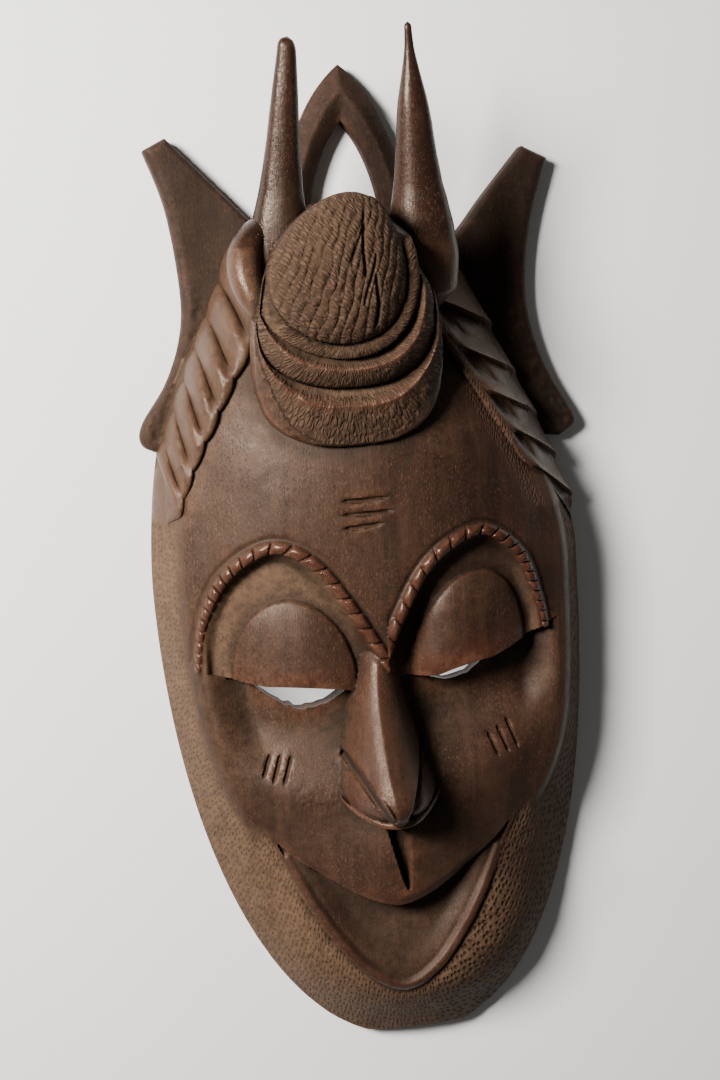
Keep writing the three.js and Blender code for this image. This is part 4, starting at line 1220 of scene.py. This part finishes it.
def carved_wood(look):
    material = bpy.data.materials.new("carved dark wood")
    g = Graph(material)
    place = g.node("ShaderNodeTexCoord").outputs["Object"]
    tool = g.attribute("tool_path", vector=True)
    marks, dust, red = g.attribute("marks"), g.attribute("dust"), g.attribute("red_wood")
    gloss, painted_shade_and_dark_tone, worn = g.attribute("gloss"), g.attribute("painted_shade_and_dark_tone"), g.attribute("worn")
    back = g.attribute("back_side")

    # Grain runs up the mask; patches and streaks differ in tone
    grain = g.noise(g.stretched(place, (1100, 45, 700)), 1.0, 4.0, 0.6, 0.6)
    streaks = g.noise(g.stretched(place, (70, 7, 60)), 1.0, 4.0, 0.6, 1.2)
    patches = g.noise(g.stretched(place, (10, 6, 10)), 1.0, 3.0, 0.5, 0.6)
    mottle = g.noise(place, 260, 4.0, 0.65)
    pore = g.range(g.cells(g.stretched(place, (1900, 260, 1900))), 0.10, 0.30, 1.0, 0.0)
    pore = g.sum("MULTIPLY", pore, g.range(g.noise(g.stretched(place, (60, 16, 60)), 1.0, 3.0), 0.38, 0.60))
    specks = g.noise(g.stretched(place, (1200, 500, 1200)), 1.0, 3.0, 0.6)

    colour = g.blend(g.range(streaks, 0.3, 0.7), look.dark_wood, look.brown_wood)
    colour = g.layer(colour, g.range(patches, 0.40, 0.75), 0.45, look.warm_wood)
    colour = g.layer(colour, g.range(grain, 0.4, 0.65), 0.42, look.dark_wood)
    red_share = g.noise(g.stretched(place, (60, 16, 50)), 1.0, 3.0, 0.5, 0.8)
    red = g.sum("MULTIPLY", red, g.range(red_share, 0.3, 0.7, 0.65, 1.0))
    colour = g.layer(colour, red, 0.75, look.red_wood)
    bare_edge = g.sum("MULTIPLY", worn, g.range(g.noise(place, 150, 4.0, 0.6), 0.4, 0.65))
    colour = g.layer(colour, bare_edge, 0.32, look.worn_wood)
    speck_share = g.range(g.noise(place, 26, 3.0), 0.35, 0.6, 0.15, 1.0)
    light_specks = g.sum("MULTIPLY", g.range(specks, 0.52, 0.68), speck_share)
    colour = g.layer(colour, light_specks, 0.42, look.worn_wood)
    dust_tone = g.blend(g.range(mottle, 0.25, 0.65), look.dark_dust, look.dust)
    dusty = g.sum("MULTIPLY", dust, g.range(g.noise(place, 48, 5.0, 0.65), 0.2, 0.6, 0.5, 1.0))
    colour = g.blend(dusty, colour, dust_tone)
    film = g.range(g.noise(place, 17, 4.0, 0.6), 0.45, 0.7)
    film = g.sum("MULTIPLY", film, g.range(mottle, 0.3, 0.6, 0.4, 1.0))
    colour = g.layer(colour, film, 0.22, dust_tone)
    colour = g.layer(colour, pore, 0.6, look.black_wood_and_shade)
    # Painted shade: black laid over recesses, creases, the wings and the mouth's tray, and over the horns to
    # darken their tone
    colour = g.layer(colour, painted_shade_and_dark_tone, 0.6, look.black_wood_and_shade)

    # Short punch marks, and scales on the hair, in rows along the tool's path
    wander = g.node("ShaderNodeTexNoise")
    g.link(place, wander.inputs["Vector"])
    wander.inputs["Scale"].default_value = 160
    wander.inputs["Detail"].default_value = 2
    shift = g.node("ShaderNodeVectorMath", operation="MULTIPLY_ADD")
    g.link(wander.outputs["Color"], shift.inputs[0])
    shift.inputs[1].default_value = (0.6, 0.6, 0.0)
    g.link(tool, shift.inputs[2])
    path = shift.outputs[0]
    dashes = g.range(g.cells(path, 0.55, "F1", "2D"), 0.10, 0.44, 1.0, 0.0)
    cracks = g.range(g.cells(path, 0.75, "DISTANCE_TO_EDGE"), 0.0, 0.26, 1.0, 0.0)
    scales = g.attribute("scales")
    dashes = g.sum("MULTIPLY", dashes, g.sum("SUBTRACT", 1.0, scales))
    pit = g.sum("MULTIPLY", g.sum("ADD", dashes, g.sum("MULTIPLY", cracks, scales)), marks)
    tint = g.sum("MULTIPLY", pit, g.range(scales, 0.0, 1.0, 0.55, 0.35))
    colour = g.blend(tint, colour, look.black_wood_and_shade)
    flecks = g.range(g.noise(place, 1000, 2.0), 0.70, 0.78)
    flecks = g.sum("MULTIPLY", flecks, g.range(g.noise(place, 34, 2.0), 0.54, 0.68))
    colour = g.layer(colour, flecks, 0.4, look.pale_fleck)
    colour = g.layer(colour, back, 0.35, look.brown_wood)

    rough = g.range(gloss, 0.0, 1.0, 0.74, look.polish)
    rough = g.sum("ADD", rough, g.range(patches, 0.3, 0.8, -0.05, 0.08))
    rough = g.sum("ADD", rough, g.range(mottle, 0.3, 0.7, -0.05, 0.06))
    rough = g.sum("ADD", rough, g.sum("MULTIPLY", pore, 0.2))
    rough = g.sum("ADD", rough, g.sum("MULTIPLY", pit, 0.15))

    height = g.sum("MULTIPLY", grain, 0.11)
    height = g.sum("ADD", height, g.sum("MULTIPLY", specks, 0.10))
    height = g.sum("SUBTRACT", height, g.sum("MULTIPLY", pore, 0.14))
    height = g.sum("SUBTRACT", height, g.sum("MULTIPLY", pit, g.range(scales, 0.0, 1.0, 1.0, 0.55)))
    uneven = g.sum("MULTIPLY", g.noise(place, 520, 3.0), g.range(marks, 0.0, 1.0, 0.10, 0.45))
    height = g.sum("ADD", height, uneven)
    bump = g.node("ShaderNodeBump")
    bump.inputs["Strength"].default_value = 1.0
    bump.inputs["Distance"].default_value = look.mark_depth
    g.link(height, bump.inputs["Height"])

    shader = g.node("ShaderNodeBsdfPrincipled")
    g.link(colour, shader.inputs["Base Color"])
    g.link(rough, shader.inputs["Roughness"])
    g.link(bump.outputs["Normal"], shader.inputs["Normal"])
    shader.inputs["Specular IOR Level"].default_value = 0.25
    shader.inputs["Specular Tint"].default_value = (1.0, 0.80, 0.66, 1.0)
    output = g.node("ShaderNodeOutputMaterial")
    g.link(shader.outputs["BSDF"], output.inputs["Surface"])
    return material


def pale_glowing_floor(look):
    material = bpy.data.materials.new("pale glowing floor")
    g = Graph(material)
    place = g.node("ShaderNodeTexCoord").outputs["Object"]
    tone = g.range(g.noise(place, 3.0, 3.0), 0.3, 0.7)
    colour = g.blend(tone, look.floor, [0.97 * channel for channel in look.floor])
    shader = g.node("ShaderNodeBsdfPrincipled")
    g.link(colour, shader.inputs["Base Color"])
    shader.inputs["Roughness"].default_value = 0.85
    # Painted light: the floor glows under the mask, though it is no lamp, so that it shows pale through the
    # eye slits
    under = g.node("ShaderNodeVectorMath", operation="LENGTH")
    g.link(g.stretched(place, (12.0, 6.0, 0.0)), under.inputs[0])
    g.link(colour, shader.inputs["Emission Color"])
    glow = g.range(under.outputs["Value"], 0.6, 1.1, look.glow_behind, 0.0)
    g.link(glow, shader.inputs["Emission Strength"])
    output = g.node("ShaderNodeOutputMaterial")
    g.link(shader.outputs["BSDF"], output.inputs["Surface"])
    return material


def colour_property(name, description, default):
    return bpy.props.FloatVectorProperty(
        name=name, description=description, default=default, subtype="COLOR", size=3, min=0, max=1)


class MaskLook(bpy.types.PropertyGroup):
    dark_wood: colour_property("Dark wood", "Stained wood in the darker streaks", (0.0105, 0.0056, 0.0040))
    brown_wood: colour_property("Brown wood", "Stained wood in the lighter streaks", (0.032, 0.0155, 0.0093))
    warm_wood: colour_property("Warm wood", "Orange-brown patches", (0.050, 0.0225, 0.0120))
    red_wood: colour_property("Red wood", "Rubbed red wood of the raised forms", (0.055, 0.0160, 0.0092))
    worn_wood: colour_property("Worn wood", "Bare wood on the most worn edges", (0.135, 0.058, 0.032))
    # Black wood also paints the shade in recesses, creases, on the wings and in the mouth's tray
    black_wood_and_shade: colour_property("Black wood", "Pores, cuts and deep recesses", (0.004, 0.003, 0.0025))
    dust: colour_property("Dust", "Dust and old polish on matt parts", (0.100, 0.056, 0.031))
    dark_dust: colour_property("Dark dust", "Darker specks in the dust", (0.052, 0.029, 0.017))
    pale_fleck: colour_property("Pale fleck", "Small chips and dried polish", (0.25, 0.20, 0.15))
    polish: bpy.props.FloatProperty(
        name="Polish", description="Roughness of the shiniest wood", default=0.26,
        min=0.05, max=1, subtype="FACTOR")
    mark_depth: bpy.props.FloatProperty(
        name="Mark depth", description="Depth of punch marks and nicks", default=0.0009,
        min=0, max=0.005, subtype="DISTANCE", unit="LENGTH")
    floor: colour_property("Floor", "Colour of the floor", (0.80, 0.79, 0.765))
    window_power: bpy.props.FloatProperty(
        name="Window", description="Power of the window light on the left", default=62,
        min=0, max=500, unit="POWER")
    fill_power: bpy.props.FloatProperty(
        name="Fill", description="Power of the soft light on the right", default=0.5,
        min=0, max=500, unit="POWER")
    # Strength of the floor's painted glow under the mask
    glow_behind: bpy.props.FloatProperty(
        name="Glow behind", description="Light on the floor behind the eye slits", default=1.2, min=0, max=5)
    room_light: bpy.props.FloatProperty(
        name="Room", description="Strength of the light from all round", default=0.08, min=0, max=2)


class MaskSizes(bpy.types.PropertyGroup):
    columns: bpy.props.IntProperty(
        name="Columns", description="Columns of the face's grid", default=400, min=60, max=600)
    rows: bpy.props.IntProperty(
        name="Rows", description="Rows of the face's grid", default=740, min=100, max=900)
    triangles: bpy.props.IntProperty(
        name="Triangles", description="Most triangles of the finished mask", default=190000,
        min=20000, max=199000)


class MASK_OT_face(bpy.types.Operator):
    """Carve the oval block: forehead, eyes, nose and mouth"""
    bl_idname = "mask.carve_face"
    bl_label = "Carve face"

    def execute(self, context):
        sizes = context.scene.mask_sizes
        make_face(sizes.columns, sizes.rows)
        return {"FINISHED"}


class MASK_OT_crown(bpy.types.Operator):
    """Carve the knot of hair and the two rolls under it"""
    bl_idname = "mask.carve_crown"
    bl_label = "Carve crown"

    def execute(self, context):
        make_crown()
        return {"FINISHED"}


class MASK_OT_braids(bpy.types.Operator):
    """Carve the braids that run down from the horns"""
    bl_idname = "mask.carve_braids"
    bl_label = "Carve braids"

    def execute(self, context):
        make_braid(0)
        make_braid(1)
        return {"FINISHED"}


class MASK_OT_horns(bpy.types.Operator):
    """Carve the two horns"""
    bl_idname = "mask.carve_horns"
    bl_label = "Carve horns"

    def execute(self, context):
        make_horn(0)
        make_horn(1)
        make_lobe()
        return {"FINISHED"}


class MASK_OT_wings(bpy.types.Operator):
    """Carve the side wings and the hanging loop"""
    bl_idname = "mask.carve_wings"
    bl_label = "Carve wings and loop"

    def execute(self, context):
        make_wing(0)
        make_wing(1)
        make_loop()
        return {"FINISHED"}


class MASK_OT_finish(bpy.types.Operator):
    """Bring all forms together in one piece of wood and give it its finish"""
    bl_idname = "mask.finish"
    bl_label = "Finish mask"

    def execute(self, context):
        piece = by_name("face")
        for name in ("braid_left", "braid_right", "wing_left", "wing_right", "hanging_loop", "horn_left",
                     "horn_right", "lobe", "crown"):
            combine(piece, by_name(name), "UNION")
        combine(piece, make_hollow(), "DIFFERENCE")
        for index in range(2):
            combine(piece, make_slit(index), "DIFFERENCE")
        combine(piece, make_ground(), "DIFFERENCE")
        deselect_all()
        piece.select_set(True)
        context.view_layer.objects.active = piece
        faces = sum(len(face.vertices) - 2 for face in piece.data.polygons)
        limit = context.scene.mask_sizes.triangles
        if faces > limit:
            step = piece.modifiers.new("lighten", "DECIMATE")
            step.ratio = limit / faces
            bpy.ops.object.modifier_apply(modifier=step.name)
        close_up(piece)
        mark_surface(piece)
        bpy.ops.object.shade_smooth_by_angle(angle=0.9)
        piece.data.materials.clear()
        piece.data.materials.append(carved_wood(context.scene.mask_look))
        piece.name = "carved_mask"
        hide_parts("mask")
        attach(piece, "root")
        return {"FINISHED"}


class MASK_OT_stage(bpy.types.Operator):
    """Set the floor, the soft lights and the camera"""
    bl_idname = "mask.set_stage"
    bl_label = "Set stage"

    def execute(self, context):
        look = context.scene.mask_look
        deselect_all()
        bpy.ops.mesh.primitive_plane_add(size=12, location=(0, 0, 0))
        floor = context.object
        floor.name = "floor"
        floor.data.materials.append(pale_glowing_floor(look))
        middle = Vector((0.0, 0.0, 0.05))
        for name, lamp, power in (("window", WINDOW, look.window_power), ("fill", FILL, look.fill_power)):
            bpy.ops.object.light_add(type="AREA", location=lamp["place"])
            light = context.object
            light.name = name
            light.data.shape = "RECTANGLE"
            light.data.size, light.data.size_y = lamp["size"]
            light.data.energy = power
            light.data.color = lamp["tone"]
            toward = middle - Vector(lamp["place"])
            light.rotation_euler = toward.to_track_quat("-Z", "Y").to_euler()
        world = bpy.data.worlds.new("soft room")
        context.scene.world = world
        world.use_nodes = True
        world.node_tree.nodes["Background"].inputs[0].default_value = WINDOW["tone"] + (1,)
        world.node_tree.nodes["Background"].inputs[1].default_value = look.room_light

        yaw, pitch, roll = np.radians([CAMERA["yaw"], CAMERA["pitch"], CAMERA["roll"]])
        toward = Vector((-np.sin(yaw) * np.cos(pitch), np.sin(pitch), np.cos(yaw) * np.cos(pitch)))
        right = Vector((0, 1, 0)).cross(toward).normalized()
        up = toward.cross(right)
        level = np.cos(roll) * right + np.sin(roll) * up
        rise = -np.sin(roll) * right + np.cos(roll) * up
        aim = Vector(to_row(*CAMERA["aim"])[0])
        spot = aim + CAMERA["distance"] / 1000 * toward
        camera = bpy.data.objects.new("camera", bpy.data.cameras.new("camera"))
        context.scene.collection.objects.link(camera)
        camera.data.lens = 55
        camera.data.sensor_width = 36
        camera.data.sensor_fit = "AUTO"
        camera.matrix_world = Matrix.Translation(spot) @ Matrix((level, rise, toward)).transposed().to_4x4()
        context.scene.camera = camera
        return {"FINISHED"}


class MASK_PT_panel(bpy.types.Panel):
    bl_label = "African mask"
    bl_idname = "MASK_PT_panel"
    bl_space_type = "VIEW_3D"
    bl_region_type = "UI"
    bl_category = "Mask"

    def draw(self, context):
        layout = self.layout
        for operator in operators:
            layout.operator(operator.bl_idname)
        for group in (context.scene.mask_sizes, context.scene.mask_look):
            for name in group.bl_rna.properties.keys():
                if name not in ("rna_type", "name"):
                    layout.prop(group, name)


operators = (MASK_OT_face, MASK_OT_crown, MASK_OT_braids, MASK_OT_horns, MASK_OT_wings, MASK_OT_finish,
             MASK_OT_stage)
classes = (MaskLook, MaskSizes) + operators + (MASK_PT_panel,)


def register():
    for item in classes:
        bpy.utils.register_class(item)
    bpy.types.Scene.mask_look = bpy.props.PointerProperty(type=MaskLook)
    bpy.types.Scene.mask_sizes = bpy.props.PointerProperty(type=MaskSizes)


def unregister():
    del bpy.types.Scene.mask_sizes
    del bpy.types.Scene.mask_look
    for item in reversed(classes):
        bpy.utils.unregister_class(item)


def main():
    register()
    bpy.ops.mask.set_stage()
    bpy.ops.mask.carve_face()
    bpy.ops.mask.carve_crown()
    bpy.ops.mask.carve_braids()
    bpy.ops.mask.carve_horns()
    bpy.ops.mask.carve_wings()
    bpy.ops.mask.finish()


if __name__ == "__main__":
    main()
